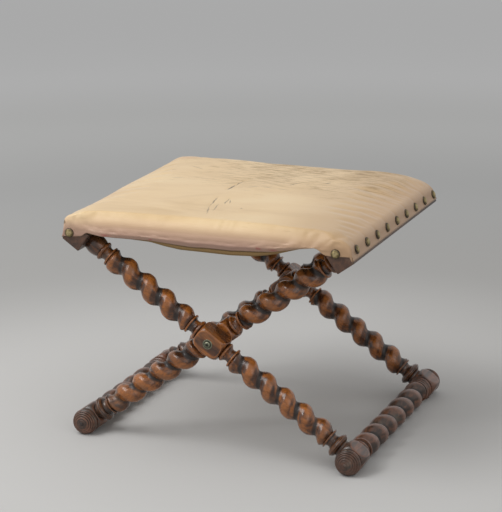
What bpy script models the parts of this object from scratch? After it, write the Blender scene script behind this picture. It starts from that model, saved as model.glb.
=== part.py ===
"""A folding X-frame stool with twist-turned legs and a nailed, stuffed silk seat.

Metres, +Z up, the front towards -Y. It stands open on the floor at z = 0, with the middle of
its plan at the origin. Run it with: blender --background --python part.py
"""

import math

import bmesh
import bpy
from mathutils import Matrix, Vector

# Clearances between pieces
SEAT_GAP = 0.0003
PIVOT_GAP = 0.0003
CUT_OVERRUN = 0.004

# Stance
LEG_SLOPE = math.radians(35.5)
LEG_UPPER_REACH = 0.310
LEG_LOWER_REACH = 0.329
FLOOR_RAIL_AXIS_HEIGHT = 0.0235
PIVOT_HEIGHT = FLOOR_RAIL_AXIS_HEIGHT + LEG_LOWER_REACH * math.sin(LEG_SLOPE)

# Seat rails
SEAT_RAIL_WIDTH = 0.038
SEAT_RAIL_LENGTH = 0.514
SEAT_RAIL_EDGE = 0.0012
OUTER_LEG_INSET = 0.032
OUTER_LEG_OFFSET = SEAT_RAIL_LENGTH / 2 - OUTER_LEG_INSET

# Crossing block of a leg, cut from the square blank
BLOCK_WIDTH = 0.041
BLOCK_DEPTH = 0.048
BLOCK_LENGTH = 0.056
BLOCK_CORNER_RADIUS = 0.0306
POMMEL_LENGTH = 0.0130
POMMEL_ROOT_RADIUS = 0.0195
POMMEL_SHARES = (0.0, 0.08, 0.25, 0.55, 1.0)

# Pivot
RIVET_PIN_RADIUS = 0.004
RIVET_HEAD_RADIUS = 0.0056
RIVET_HEAD_HEIGHT = 0.0032
RIVET_EDGE = 0.0008
RIVET_SHOULDER_RADIUS_SHARE = 0.60
RIVET_SHOULDER_HEIGHT_SHARE = 0.82
RIVETED_END_HEIGHT_SHARE = 0.60
WASHER_RADIUS = 0.0090
WASHER_THICKNESS = 0.0010
WASHER_BORE_CLEARANCE = 0.0003
PIVOT_BORE_CLEARANCE = 0.0003
LEG_SPACING_GAP = WASHER_THICKNESS + 2 * PIVOT_GAP
INNER_LEG_OFFSET = OUTER_LEG_OFFSET - BLOCK_DEPTH - LEG_SPACING_GAP

# Twist turning: one strand, right-handed
SIDES = 8
TWIST_CROWN_RADIUS = 0.0230
TWIST_VALLEY_RADIUS = 0.0134
LEG_TWIST_LEAD = 0.0438
TWIST_RUN_IN = 0.010
TWIST_END_RADIUS = 0.0165
LEG_TWIST_PHASE_STEPS = {
    "outer_front": (7, 7),
    "outer_back": (2, 7),
    "inner_front": (6, 2),
    "inner_back": (7, 7),
}
FLOOR_TWIST_LEADS = {"outer": 0.0544, "inner": 0.0500}
FLOOR_TWIST_PHASE_STEPS = 0

# Turned mouldings of a leg
FLANGE_RADIUS = 0.0190
FLANGE_THICKNESS = 0.0032
CROSSING_COVE_LENGTH = 0.0120
COVE_LENGTH = 0.0110
COVE_EDGE_RADIUS = 0.0132
COVE_WAIST_RADIUS = 0.0122
RING_LENGTH = 0.0080
RING_RADIUS = 0.0185
RING_EDGE_RADIUS = 0.0155
BARREL_LENGTH = 0.0290
BARREL_RADIUS = 0.0190
BARREL_EDGE_RADIUS = 0.0158
FOOT_TORUS_RADIUS = 0.0235
FOOT_TORUS_EDGE_RADIUS = 0.0175
FOOT_TORUS_LENGTH = 0.0130
FOOT_COLLAR_RADIUS = 0.0160
FOOT_COLLAR_LENGTH = 0.0050
TENON_RADIUS = 0.0110
FOOT_TENON_LENGTH = 0.0260
HEAD_TENON_TO_NAIL = 0.0040

# Floor rails
FOOT_BLOCK_WIDTH = 0.047
FOOT_BLOCK_LENGTH = 0.042
FOOT_BLOCK_CORNER_RADIUS = 0.0302
FOOT_POMMEL_LENGTH = 0.0200
FOOT_POMMEL_ROOT_RADIUS = 0.0215
FOOT_RING_LENGTH = 0.0100
FOOT_RING_RADIUS = 0.0225
FOOT_RING_EDGE_RADIUS = 0.0185
FOOT_BEAD_LENGTH = 0.0060
FOOT_BEAD_RADIUS = 0.0205
FOOT_COVE_LENGTH = 0.0080
FOOT_COVE_EDGE_RADIUS = 0.0165
FOOT_COVE_WAIST_RADIUS = 0.0155
FOOT_FLANGE_RADIUS = 0.0215
BUN_NECK_LENGTH = 0.0015
BUN_NECK_RADIUS = 0.0190
BUN_LENGTH = 0.0172
BUN_RADIUS = 0.0242
BUN_END_RADIUS = 0.0185
BUN_STEP_LENGTH = 0.0018
BUN_STEP_RADII = (0.0168, 0.0122, 0.0072)
NIB_RADIUS = 0.0032
NIB_LENGTH = 0.0024

# Seat textiles
CLOTH_GAP = 0.0003
SLING_THICKNESS = 0.0016
SLING_WRAP = 0.014
SLING_SAG = 0.014
SLING_SAG_SHARES = (0.0, 0.2, 0.45, 0.75)
COVER_THICKNESS = 0.0016
COVER_EDGE_TO_CORNER = 0.007
NAIL_TO_BULGE = 0.0022
SEAT_BULGE = 0.0240
SEAT_RISE = 0.0170
SEAT_CROWN = 0.0020
SHOULDER_RADIUS = 0.0125
TOP_SHARES = (0.86, 0.62, 0.32)
ROW_SHARES = (0.62, 0.25)
ROLL_RADIUS = 0.0200
SIDE_ROLL_RADIUS = 0.0095
ROLL_ANGLES = (0.0, 32.0, 62.0, 90.0)
BULGE_ANGLES = (-58.0, -28.0, 0.0)
SHOULDER_ANGLES = (32.0, 62.0, 90.0)
FLAP_HEM_RISE = 0.0010
FLAP_HEM_INSET = 0.0050
HEM_STEP = 0.0110
HEM_RISE = 0.0020
HEM_SAG = 0.0170
HEM_SHARES = (0.66, 0.33)

# Nails
NAIL_HEAD_RADIUS = 0.0085
NAIL_HEAD_HEIGHT = 0.0042
NAIL_HEAD_EDGE = 0.0008
NAIL_SHOULDER_RADIUS_SHARE = 0.62
NAIL_SHOULDER_HEIGHT_SHARE = 0.80
NAIL_TIP_RADIUS_SHARE = 0.70
NAIL_SHANK_RADIUS = 0.0013
NAIL_SHANK_LENGTH = 0.0120
NAILS_ALONG_RAIL = 9
NAIL_FRONT_MARGIN = 0.0280
NAIL_BACK_MARGIN = 0.0100
NAIL_TO_CORNER = 0.0162
OUTER_END_NAIL_ALONG = 0.0128
INNER_END_NAIL_ACROSS = 0.0130

# How far the floor under the worn feet reaches, as shares of the stool's own sizes
FLOOR_LENGTH_SHARE = 4.0
FLOOR_WIDTH_SHARE = 4.0

# Shading and joining of the facets
SMOOTH_ANGLE_DEGREES = 40
TURNED_SMOOTH_ANGLE_DEGREES = 50
MERGE_DISTANCE = 0.00001

# Counts of facets
NAIL_SIDES = 8
NAIL_HOLE_SIDES = 6
RIVET_SIDES = 12
BEAD_STEPS = 4
BUN_STEPS = 6


def linear(value):
    """One sRGB channel, 0 to 1, as linear light."""
    return value / 12.92 if value <= 0.04045 else ((value + 0.055) / 1.055) ** 2.4


def material(name, hex_colour, roughness, metallic=0.0):
    """A Principled material with the colour written as sRGB hex."""
    made = bpy.data.materials.new(name)
    made.use_nodes = True
    shader = made.node_tree.nodes["Principled BSDF"]
    channels = [int(hex_colour[i : i + 2], 16) / 255 for i in (0, 2, 4)]
    colour = (*[linear(c) for c in channels], 1.0)
    shader.inputs["Base Color"].default_value = colour
    shader.inputs["Roughness"].default_value = roughness
    shader.inputs["Metallic"].default_value = metallic
    made.diffuse_color = colour
    return made


def clear_scene():
    for obj in list(bpy.data.objects):
        bpy.data.objects.remove(obj, do_unlink=True)


def new_collection(name, hidden=False):
    made = bpy.data.collections.new(name)
    bpy.context.scene.collection.children.link(made)
    made.hide_render = hidden
    return made


def place(mesh, name, group, finish, parent, location=(0, 0, 0), rotation=(0, 0, 0)):
    """A named object for one piece, in its frame's own axes."""
    obj = bpy.data.objects.new(name, mesh)
    group.objects.link(obj)
    if finish is not None and not mesh.materials:
        mesh.materials.append(finish)
    obj.parent = parent
    obj.location = location
    obj.rotation_euler = rotation
    return obj


def smooth(mesh, angle_degrees=SMOOTH_ANGLE_DEGREES):
    mesh.shade_smooth()
    mesh.set_sharp_from_angle(angle=math.radians(angle_degrees))


def mesh_from(bm, name):
    mesh = bpy.data.meshes.new(name)
    bm.to_mesh(mesh)
    bm.free()
    return mesh


# Turned and twisted work: rings of points along the lathe's axis, joined into one skin


def even_angles():
    return [math.tau * j / SIDES for j in range(SIDES)]


def block_angles(half_x, half_y, limit):
    """Ring angles with a point at each end of every flat face, where a turned limit cuts it off."""
    least = math.pi / SIDES
    across_x = max(least, math.acos(min(1.0, half_x / limit)))
    across_y = max(least, math.acos(min(1.0, half_y / limit)))
    angles = []
    for quarter, across in enumerate((across_x, across_y, across_x, across_y)):
        facing = quarter * math.pi / 2
        angles += [facing - across, facing + across]
    return angles


def ring(z, radii, angles):
    return [Vector((r * math.cos(a), r * math.sin(a), z)) for r, a in zip(radii, angles)]


def round_ring(z, radius):
    return ring(z, [radius] * SIDES, even_angles())


def rounds(points):
    return [round_ring(z, radius) for z, radius in points]


def bead(z_from, z_to, edge_radius, crown_radius, steps=BEAD_STEPS):
    """A half-round moulding between two stations."""
    points = []
    for k in range(steps + 1):
        share = k / steps
        rise = math.sin(math.pi * share)
        points.append((z_from + (z_to - z_from) * share, edge_radius + (crown_radius - edge_radius) * rise))
    return rounds(points)


def cove(z_from, z_to, radius_from, radius_to, waist_radius):
    """A hollow between two stations."""
    middle = (z_from + z_to) / 2
    return rounds([(z_from, radius_from), (middle, waist_radius), (z_to, radius_to)])


def disc(z_from, z_to, radius):
    return rounds([(z_from, radius), (z_to, radius)])


def twist(z_from, z_to, lead, phase_steps):
    """A right-handed single strand. Its valley runs along the ring points' diagonal, so it stays sharp."""
    steps = round((z_to - z_from) / lead * SIDES)
    rings = []
    for k in range(steps + 1):
        z = z_from + (z_to - z_from) * k / steps
        from_end = min(z - z_from, z_to - z)
        run_in = math.sin(math.pi / 2 * min(1.0, from_end / TWIST_RUN_IN))
        limit = TWIST_END_RADIUS + (TWIST_CROWN_RADIUS - TWIST_END_RADIUS) * run_in
        radii = []
        for j in range(SIDES):
            swell = abs(math.sin(math.pi * (j - k + phase_steps) / SIDES))
            lobe = swell * (1 + swell) / 2
            rope = TWIST_VALLEY_RADIUS + (TWIST_CROWN_RADIUS - TWIST_VALLEY_RADIUS) * lobe
            radii.append(min(rope, limit))
        rings.append(ring(z, radii, even_angles()))
    return rings


def block(z_from, z_to, half_x, half_y, corner_radius, pommel_length, root_radius):
    """A squared length whose ends are turned off to pommels, so that each face ends in an arc."""
    limits = []
    for share in POMMEL_SHARES:
        swell = math.sqrt(1 - (1 - share) ** 2)
        limits.append((share * pommel_length, root_radius + (corner_radius - root_radius) * swell))
    stations = [(z_from + offset, limit) for offset, limit in limits]
    stations += [(z_to - offset, limit) for offset, limit in reversed(limits)]
    rings = []
    for z, limit in stations:
        angles = block_angles(half_x, half_y, limit)
        radii = []
        for index, angle in enumerate(angles):
            on_y_face = index // 2 % 2
            to_face = half_y / abs(math.sin(angle)) if on_y_face else half_x / abs(math.cos(angle))
            radii.append(min(to_face, limit))
        rings.append(ring(z, radii, angles))
    return rings


def skin(rings, name):
    """One closed mesh through rings of equal count, each end shut by a flat cap."""
    bm = bmesh.new()
    loops = [[bm.verts.new(point) for point in points] for points in rings]
    for lower, upper in zip(loops, loops[1:]):
        for j in range(len(lower)):
            k = (j + 1) % len(lower)
            bm.faces.new((lower[j], lower[k], upper[k]))
            bm.faces.new((lower[j], upper[k], upper[j]))
    bm.faces.new(list(reversed(loops[0])))
    bm.faces.new(loops[-1])
    bmesh.ops.recalc_face_normals(bm, faces=bm.faces)
    mesh = mesh_from(bm, name)
    smooth(mesh)
    return mesh


def head_tenon_length():
    """A head tenon ends short of the nails that come in from the rail's far face."""
    return SEAT_RAIL_WIDTH - NAIL_SHANK_LENGTH - HEAD_TENON_TO_NAIL


def crossing_mouldings(block_end, direction):
    """Ring, cove and flange beside a leg's crossing block, listed outwards from the block."""
    ring_end = block_end + direction * RING_LENGTH
    cove_end = ring_end + direction * CROSSING_COVE_LENGTH
    flange_end = cove_end + direction * FLANGE_THICKNESS
    rings = bead(block_end, ring_end, RING_EDGE_RADIUS, RING_RADIUS)
    rings += cove(ring_end, cove_end, COVE_EDGE_RADIUS, COVE_EDGE_RADIUS, COVE_WAIST_RADIUS)
    rings += disc(cove_end, flange_end, FLANGE_RADIUS)
    return rings, flange_end


def leg_mesh(name, lower_phase_steps, upper_phase_steps):
    """A whole leg along +Z, its pivot at the origin and its foot downwards."""
    foot_shoulder = -(LEG_LOWER_REACH - FOOT_BLOCK_WIDTH / 2 - SEAT_GAP)
    head_shoulder = LEG_UPPER_REACH - SEAT_RAIL_WIDTH / 2 - SEAT_GAP
    torus_start = foot_shoulder + FOOT_COLLAR_LENGTH
    torus_end = torus_start + FOOT_TORUS_LENGTH
    foot_flange_start = torus_end + COVE_LENGTH
    foot_flange_end = foot_flange_start + FLANGE_THICKNESS

    rings = rounds([(foot_shoulder - FOOT_TENON_LENGTH, TENON_RADIUS), (foot_shoulder, TENON_RADIUS)])
    rings += rounds([(foot_shoulder, FOOT_COLLAR_RADIUS)])
    rings += bead(torus_start, torus_end, FOOT_TORUS_EDGE_RADIUS, FOOT_TORUS_RADIUS)
    rings += cove(torus_end, foot_flange_start, COVE_EDGE_RADIUS, COVE_EDGE_RADIUS, COVE_WAIST_RADIUS)
    rings += disc(foot_flange_start, foot_flange_end, FLANGE_RADIUS)

    lower_rings, lower_flange = crossing_mouldings(-BLOCK_LENGTH / 2, -1)
    rings += twist(foot_flange_end, lower_flange, LEG_TWIST_LEAD, lower_phase_steps)
    rings += reversed(lower_rings)
    rings += block(
        -BLOCK_LENGTH / 2,
        BLOCK_LENGTH / 2,
        BLOCK_WIDTH / 2,
        BLOCK_DEPTH / 2,
        BLOCK_CORNER_RADIUS,
        POMMEL_LENGTH,
        POMMEL_ROOT_RADIUS,
    )
    upper_rings, upper_flange = crossing_mouldings(BLOCK_LENGTH / 2, 1)
    rings += upper_rings

    barrel_start = head_shoulder - BARREL_LENGTH
    head_ring_start = barrel_start - RING_LENGTH
    head_flange_end = head_ring_start - COVE_LENGTH
    head_flange_start = head_flange_end - FLANGE_THICKNESS
    rings += twist(upper_flange, head_flange_start, LEG_TWIST_LEAD, upper_phase_steps)
    rings += disc(head_flange_start, head_flange_end, FLANGE_RADIUS)
    rings += cove(head_flange_end, head_ring_start, COVE_EDGE_RADIUS, RING_EDGE_RADIUS, COVE_WAIST_RADIUS)
    rings += bead(head_ring_start, barrel_start, RING_EDGE_RADIUS, RING_RADIUS)[1:]
    rings += bead(barrel_start, head_shoulder, BARREL_EDGE_RADIUS, BARREL_RADIUS)[1:]
    rings += rounds([(head_shoulder, TENON_RADIUS), (head_shoulder + head_tenon_length(), TENON_RADIUS)])
    return skin(rings, name)


def bun_rings(block_end, direction):
    """The bun on a floor rail's end, listed outwards from the block."""
    start = block_end + direction * BUN_NECK_LENGTH
    end = start + direction * BUN_LENGTH
    rings = rounds([(block_end, BUN_NECK_RADIUS)])
    rings += bead(start, end, BUN_END_RADIUS, BUN_RADIUS, steps=BUN_STEPS)
    at = end
    for radius in BUN_STEP_RADII:
        rings += disc(at, at + direction * BUN_STEP_LENGTH, radius)
        at += direction * BUN_STEP_LENGTH
    rings += disc(at, at + direction * NIB_LENGTH, NIB_RADIUS)
    return rings


def foot_mouldings(block_end, direction):
    """Ring, bead, cove and flange between a foot block and the rail's twist, listed outwards."""
    ring_end = block_end + direction * FOOT_RING_LENGTH
    bead_end = ring_end + direction * FOOT_BEAD_LENGTH
    cove_end = bead_end + direction * FOOT_COVE_LENGTH
    flange_end = cove_end + direction * FLANGE_THICKNESS
    rings = bead(block_end, ring_end, FOOT_RING_EDGE_RADIUS, FOOT_RING_RADIUS)
    rings += bead(ring_end, bead_end, FOOT_RING_EDGE_RADIUS, FOOT_BEAD_RADIUS, steps=2)[1:]
    rings += cove(bead_end, cove_end, FOOT_COVE_EDGE_RADIUS, FOOT_COVE_EDGE_RADIUS, FOOT_COVE_WAIST_RADIUS)
    rings += disc(cove_end, flange_end, FOOT_FLANGE_RADIUS)
    return rings, flange_end


def floor_rail_mesh(leg_offset, lead, name):
    """A floor rail along Z, with its foot blocks on the legs at +/- leg_offset."""
    half_block = FOOT_BLOCK_LENGTH / 2
    half_width = FOOT_BLOCK_WIDTH / 2
    rings = list(reversed(bun_rings(-leg_offset - half_block, -1)))
    near_rings, near_flange = foot_mouldings(-leg_offset + half_block, 1)
    far_rings, far_flange = foot_mouldings(leg_offset - half_block, -1)
    square = (half_width, half_width, FOOT_BLOCK_CORNER_RADIUS, FOOT_POMMEL_LENGTH, FOOT_POMMEL_ROOT_RADIUS)
    rings += block(-leg_offset - half_block, -leg_offset + half_block, *square)
    rings += near_rings
    rings += twist(near_flange, far_flange, lead, FLOOR_TWIST_PHASE_STEPS)
    rings += reversed(far_rings)
    rings += block(leg_offset - half_block, leg_offset + half_block, *square)
    rings += bun_rings(leg_offset + half_block, 1)
    return skin(rings, name)


# Cutters and Booleans


def cylinder_cutter(group, name, parent, location, rotation, radius, length, sides):
    bm = bmesh.new()
    bmesh.ops.create_cone(
        bm, cap_ends=True, segments=sides, radius1=radius, radius2=radius, depth=length
    )
    cutter = place(mesh_from(bm, name), name, group, None, parent, location, rotation)
    cutter.hide_render = True
    cutter.display_type = "WIRE"
    return cutter


def box_cutter(group, name, parent, location, rotation, size):
    bm = bmesh.new()
    bmesh.ops.create_cube(bm, size=1, matrix=Matrix.Diagonal((*size, 1)))
    cutter = place(mesh_from(bm, name), name, group, None, parent, location, rotation)
    cutter.hide_render = True
    cutter.display_type = "WIRE"
    return cutter


def cut(piece, cutter):
    modifier = piece.modifiers.new(cutter.name, "BOOLEAN")
    modifier.operation = "DIFFERENCE"
    modifier.solver = "EXACT"
    modifier.object = cutter
    return modifier


def turned_mesh(profile, name, steps):
    """A Screw about local Z of a profile that runs down its outer side. The result is baked to a mesh."""
    bm = bmesh.new()
    points = [bm.verts.new((radius, 0, z)) for radius, z in profile]
    for first, second in zip(points, points[1:]):
        bm.edges.new((first, second))
    guide = bpy.data.objects.new(name, mesh_from(bm, name))
    bpy.context.scene.collection.objects.link(guide)
    screw = guide.modifiers.new("Screw", "SCREW")
    screw.steps = steps
    screw.render_steps = steps
    screw.use_merge_vertices = True
    screw.merge_threshold = MERGE_DISTANCE
    graph = bpy.context.evaluated_depsgraph_get()
    made = bpy.data.meshes.new_from_object(guide.evaluated_get(graph))
    bpy.data.objects.remove(guide, do_unlink=True)
    made.name = name
    smooth(made, TURNED_SMOOTH_ANGLE_DEGREES)
    return made


def rivet_mesh():
    """A pivot rivet along Z: its domed head above the outer washer, its end riveted over below."""
    stack = 2 * BLOCK_DEPTH + LEG_SPACING_GAP
    head_seat = stack / 2 + WASHER_THICKNESS + 2 * PIVOT_GAP
    dome = RIVET_HEAD_HEIGHT
    radius = RIVET_HEAD_RADIUS
    profile = [
        (0, head_seat + dome),
        (radius * RIVET_SHOULDER_RADIUS_SHARE, head_seat + dome * RIVET_SHOULDER_HEIGHT_SHARE),
        (radius, head_seat + RIVET_EDGE),
        (radius, head_seat),
        (RIVET_PIN_RADIUS, head_seat),
        (RIVET_PIN_RADIUS, -head_seat),
        (radius, -head_seat),
        (radius, -head_seat - RIVET_EDGE),
        (0, -head_seat - dome * RIVETED_END_HEIGHT_SHARE),
    ]
    return turned_mesh(profile, "pivot_rivet", RIVET_SIDES)


def washer_mesh():
    bore = RIVET_PIN_RADIUS + WASHER_BORE_CLEARANCE
    half = WASHER_THICKNESS / 2
    profile = [
        (bore, half),
        (WASHER_RADIUS, half),
        (WASHER_RADIUS, -half),
        (bore, -half),
        (bore, half),
    ]
    return turned_mesh(profile, "washer", RIVET_SIDES)


def nail_mesh():
    """A domed nail along Z, the underside of its head at z = 0."""
    shoulder_radius = NAIL_HEAD_RADIUS * NAIL_SHOULDER_RADIUS_SHARE
    profile = [
        (0, NAIL_HEAD_HEIGHT),
        (shoulder_radius, NAIL_HEAD_HEIGHT * NAIL_SHOULDER_HEIGHT_SHARE),
        (NAIL_HEAD_RADIUS, NAIL_HEAD_EDGE),
        (NAIL_HEAD_RADIUS, 0),
        (NAIL_SHANK_RADIUS, 0),
        (NAIL_SHANK_RADIUS * NAIL_TIP_RADIUS_SHARE, -NAIL_SHANK_LENGTH),
        (0, -NAIL_SHANK_LENGTH - NAIL_SHANK_RADIUS),
    ]
    return turned_mesh(profile, "nail", NAIL_SIDES)


# Seat: sections across the stool, in (x, z), at a height between the two rails


def beside_seat_rail(outward, upward):
    """A point in (x, z) measured from the right seat rail's axis, square to its faces."""
    x = LEG_UPPER_REACH * math.cos(LEG_SLOPE)
    z = PIVOT_HEIGHT + LEG_UPPER_REACH * math.sin(LEG_SLOPE)
    x += outward * math.cos(LEG_SLOPE) - upward * math.sin(LEG_SLOPE)
    z += outward * math.sin(LEG_SLOPE) + upward * math.cos(LEG_SLOPE)
    return x, z


def seat_top_half_length():
    return SEAT_RAIL_LENGTH / 2 + CLOTH_GAP + COVER_THICKNESS


def mirrored(right_half):
    """A right half, from the top's middle to the bottom's, followed by its reflection."""
    left = [(-x, z) for x, z in reversed(right_half) if x > 0]
    return right_half + left


def side_outline(inset):
    """The padded side, from the shoulder down to the strip nailed on the rail, drawn in by inset."""
    half = SEAT_RAIL_WIDTH / 2
    corner_x, corner_z = beside_seat_rail(half, half)
    side_x = corner_x + SEAT_BULGE
    shoulder_z = corner_z + SEAT_RISE - SHOULDER_RADIUS
    strip_out = half + CLOTH_GAP + COVER_THICKNESS
    strip_top = -half + NAIL_TO_CORNER + NAIL_HEAD_RADIUS + NAIL_TO_BULGE
    notch_x, notch_z = beside_seat_rail(strip_out, strip_top)
    shoulder = SHOULDER_RADIUS - inset
    width = side_x - notch_x - inset
    height = shoulder_z - notch_z - inset
    points = []
    for degrees in reversed(SHOULDER_ANGLES):
        angle = math.radians(degrees)
        across = side_x - SHOULDER_RADIUS + shoulder * math.cos(angle)
        points.append((across, shoulder_z + shoulder * math.sin(angle)))
    for degrees in reversed(BULGE_ANGLES):
        angle = math.radians(degrees)
        points.append((notch_x + width * math.cos(angle), shoulder_z + height * math.sin(angle)))
    return points, strip_out - inset, strip_top + inset


def top_z(x, y_share, inset):
    """The height of the seat's top, a little higher in the middle."""
    corner_x, corner_z = beside_seat_rail(SEAT_RAIL_WIDTH / 2, SEAT_RAIL_WIDTH / 2)
    x_share = x / (corner_x + SEAT_BULGE)
    crown = SEAT_CROWN * (1 - x_share**2) * (1 - y_share**2)
    return corner_z + SEAT_RISE + crown - inset


def hem_points():
    """The lower edge of the cover's end, from the flap's outer end to the middle."""
    half = SEAT_RAIL_WIDTH / 2
    corner_x, corner_z = beside_seat_rail(half, -half)
    flap_z = corner_z + FLAP_HEM_RISE
    inner_x, inner_z = beside_seat_rail(-half, half)
    points = [(corner_x - FLAP_HEM_INSET, flap_z), (inner_x, flap_z)]
    step_x = inner_x - HEM_STEP
    for share in (1.0, *HEM_SHARES, 0.0):
        points.append((step_x * share, inner_z + HEM_RISE - HEM_SAG * (1 - share**2)))
    return points


def roll_radius(x, inset):
    """How far the end rolls over at a point of the top: less at the corners than in the middle."""
    corner_x = beside_seat_rail(SEAT_RAIL_WIDTH / 2, SEAT_RAIL_WIDTH / 2)[0]
    share = min(1.0, max(0.0, (corner_x - x) / SEAT_RAIL_WIDTH))
    return SIDE_ROLL_RADIUS + (ROLL_RADIUS - SIDE_ROLL_RADIUS) * share - inset


def seat_ring(end, roll_degrees, y_share, inset, bottom):
    """One ring of a seat solid. end is -1 or 1 for a rolled end and 0 for a row between them."""
    half_length = seat_top_half_length() - inset
    roll = math.radians(roll_degrees)
    corner_roll = CLOTH_GAP + COVER_THICKNESS - inset + CLOTH_GAP
    corner_x = beside_seat_rail(SEAT_RAIL_WIDTH / 2, SEAT_RAIL_WIDTH / 2)[0]

    def depth(radius):
        if end == 0:
            return y_share * (half_length - ROLL_RADIUS)
        return end * (half_length - radius * (1 - math.sin(roll)))

    def sunk(radius):
        return radius * (1 - math.cos(roll)) if end else 0.0

    points = []
    for share in (0.0, *reversed(TOP_SHARES)):
        x = corner_x * share
        radius = roll_radius(x, inset)
        z = top_z(x, 1.0 if end else y_share, inset + sunk(radius))
        points.append((x, depth(radius), z))
    side_radius = SIDE_ROLL_RADIUS - inset
    outline, strip_out, strip_top = side_outline(inset + sunk(side_radius))
    points += [(x, depth(side_radius), z) for x, z in outline]
    straight_out = side_outline(inset)[1]
    points += [
        (x, depth(corner_roll), z)
        for x, z in bottom(straight_out - sunk(corner_roll), side_outline(inset)[2])
    ]
    left = [(-x, y, z) for x, y, z in reversed(points) if x > 0]
    return [Vector(point) for point in points + left]


def seat_rings(inset, bottom):
    rings = [seat_ring(-1, degrees, 1.0, inset, bottom) for degrees in reversed(ROLL_ANGLES)]
    rows = [*[-share for share in ROW_SHARES], *reversed(ROW_SHARES)]
    rings += [seat_ring(0, 0.0, share, inset, bottom) for share in rows]
    rings += [seat_ring(1, degrees, 1.0, inset, bottom) for degrees in ROLL_ANGLES]
    return rings


def cover_bottom(strip_out, strip_top):
    """The strip on the rail's outer face, then the hem of the ends."""
    edge = -SEAT_RAIL_WIDTH / 2 + COVER_EDGE_TO_CORNER
    return [
        beside_seat_rail(strip_out, strip_top),
        beside_seat_rail(strip_out, edge),
        *hem_points(),
    ]


def hollow_bottom(strip_out, strip_top):
    """The hollow under the cover runs down past every edge of it."""
    low_x, low_z = beside_seat_rail(strip_out, -SEAT_RAIL_WIDTH)
    return [beside_seat_rail(strip_out, strip_top), (low_x, low_z), (0.0, low_z)]


def sling_line(rise):
    """The sling's section, from the right rail's upper face to the middle, at a rise above its seat."""
    half = SEAT_RAIL_WIDTH / 2
    edge_x, edge_z = beside_seat_rail(-half, half + CLOTH_GAP + rise)
    points = [beside_seat_rail(-half + SLING_WRAP, half + CLOTH_GAP + rise), (edge_x, edge_z)]
    for share in reversed(SLING_SAG_SHARES):
        points.append((edge_x * share, edge_z - SLING_SAG * (1 - share**2)))
    return points


def stuffing_bottom(strip_out, strip_top):
    """The stuffing's underside: down the rail's outer face, over its upper face, and along the sling."""
    half = SEAT_RAIL_WIDTH / 2
    rise = SLING_THICKNESS + CLOTH_GAP
    corner = half + CLOTH_GAP + rise
    return [
        beside_seat_rail(half + CLOTH_GAP, strip_top),
        beside_seat_rail(half + CLOTH_GAP, corner),
        beside_seat_rail(-half + SLING_WRAP, corner),
        *sling_line(rise)[1:],
    ]


def sling_mesh():
    """A strip along the sling's middle surface, thickened by its modifier."""
    bm = bmesh.new()
    half_length = SEAT_RAIL_LENGTH / 2 - CLOTH_GAP
    section = mirrored(sling_line(SLING_THICKNESS / 2))
    rows = [[bm.verts.new((x, y, z)) for x, z in section] for y in (-half_length, half_length)]
    for j in range(len(section) - 1):
        bm.faces.new((rows[0][j], rows[0][j + 1], rows[1][j + 1], rows[1][j]))
    mesh = mesh_from(bm, "seat_sling")
    smooth(mesh)
    return mesh


# Assembly


def frame_empty(name, group, slope):
    """A frame's own axes: its origin on the pivot, +Z up along its legs."""
    empty = bpy.data.objects.new(name, None)
    group.objects.link(empty)
    empty.location = (0, 0, PIVOT_HEIGHT)
    empty.rotation_euler = (0, slope, 0)
    return empty


def tenon_hole(group, name, parent, leg_offset, from_z, to_z):
    """A cutter for the mortise that takes a leg's tenon."""
    mesh = skin(rounds([(from_z, TENON_RADIUS + SEAT_GAP), (to_z, TENON_RADIUS + SEAT_GAP)]), name)
    cutter = place(mesh, name, group, None, parent, (0, leg_offset, 0))
    cutter.hide_render = True
    cutter.display_type = "WIRE"
    return cutter


def nail_places(toward_seat, outer_frame):
    """Each nail's place and rotation in its frame's axes: those along the rail, then the two end ones."""
    half = SEAT_RAIL_WIDTH / 2
    half_length = SEAT_RAIL_LENGTH / 2
    lift = CLOTH_GAP + COVER_THICKNESS + CLOTH_GAP
    first = -half_length + NAIL_FRONT_MARGIN
    last = half_length - NAIL_BACK_MARGIN
    across = toward_seat * (NAIL_TO_CORNER - half)
    places = []
    for k in range(NAILS_ALONG_RAIL):
        y = first + (last - first) * k / (NAILS_ALONG_RAIL - 1)
        places.append(((across, y, LEG_UPPER_REACH + half + lift), (0, 0, 0)))
    if outer_frame:
        end_x, end_z = 0.0, LEG_UPPER_REACH + OUTER_END_NAIL_ALONG
    else:
        end_x, end_z = toward_seat * INNER_END_NAIL_ACROSS, LEG_UPPER_REACH
    for end in (-1, 1):
        places.append(((end_x, end * (half_length + lift), end_z), (-end * math.pi / 2, 0, 0)))
    return places


def nail_hole_cutter(group, name, parent, places):
    """One cutter for all the nail holes of a rail, wider than the shanks by the gap on each side."""
    bm = bmesh.new()
    radius = NAIL_SHANK_RADIUS + SEAT_GAP
    above = COVER_THICKNESS + CUT_OVERRUN
    depth = NAIL_SHANK_LENGTH + NAIL_SHANK_RADIUS + SEAT_GAP
    for location, rotation in places:
        turn = Matrix.Rotation(rotation[0], 4, "X")
        middle = Matrix.Translation((0, 0, (above - depth) / 2))
        bmesh.ops.create_cone(
            bm,
            cap_ends=True,
            segments=NAIL_HOLE_SIDES,
            radius1=radius,
            radius2=radius,
            depth=above + depth,
            matrix=Matrix.Translation(location) @ turn @ middle,
        )
    cutter = place(mesh_from(bm, name), name, group, None, parent)
    cutter.hide_render = True
    cutter.display_type = "WIRE"
    return cutter


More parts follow.
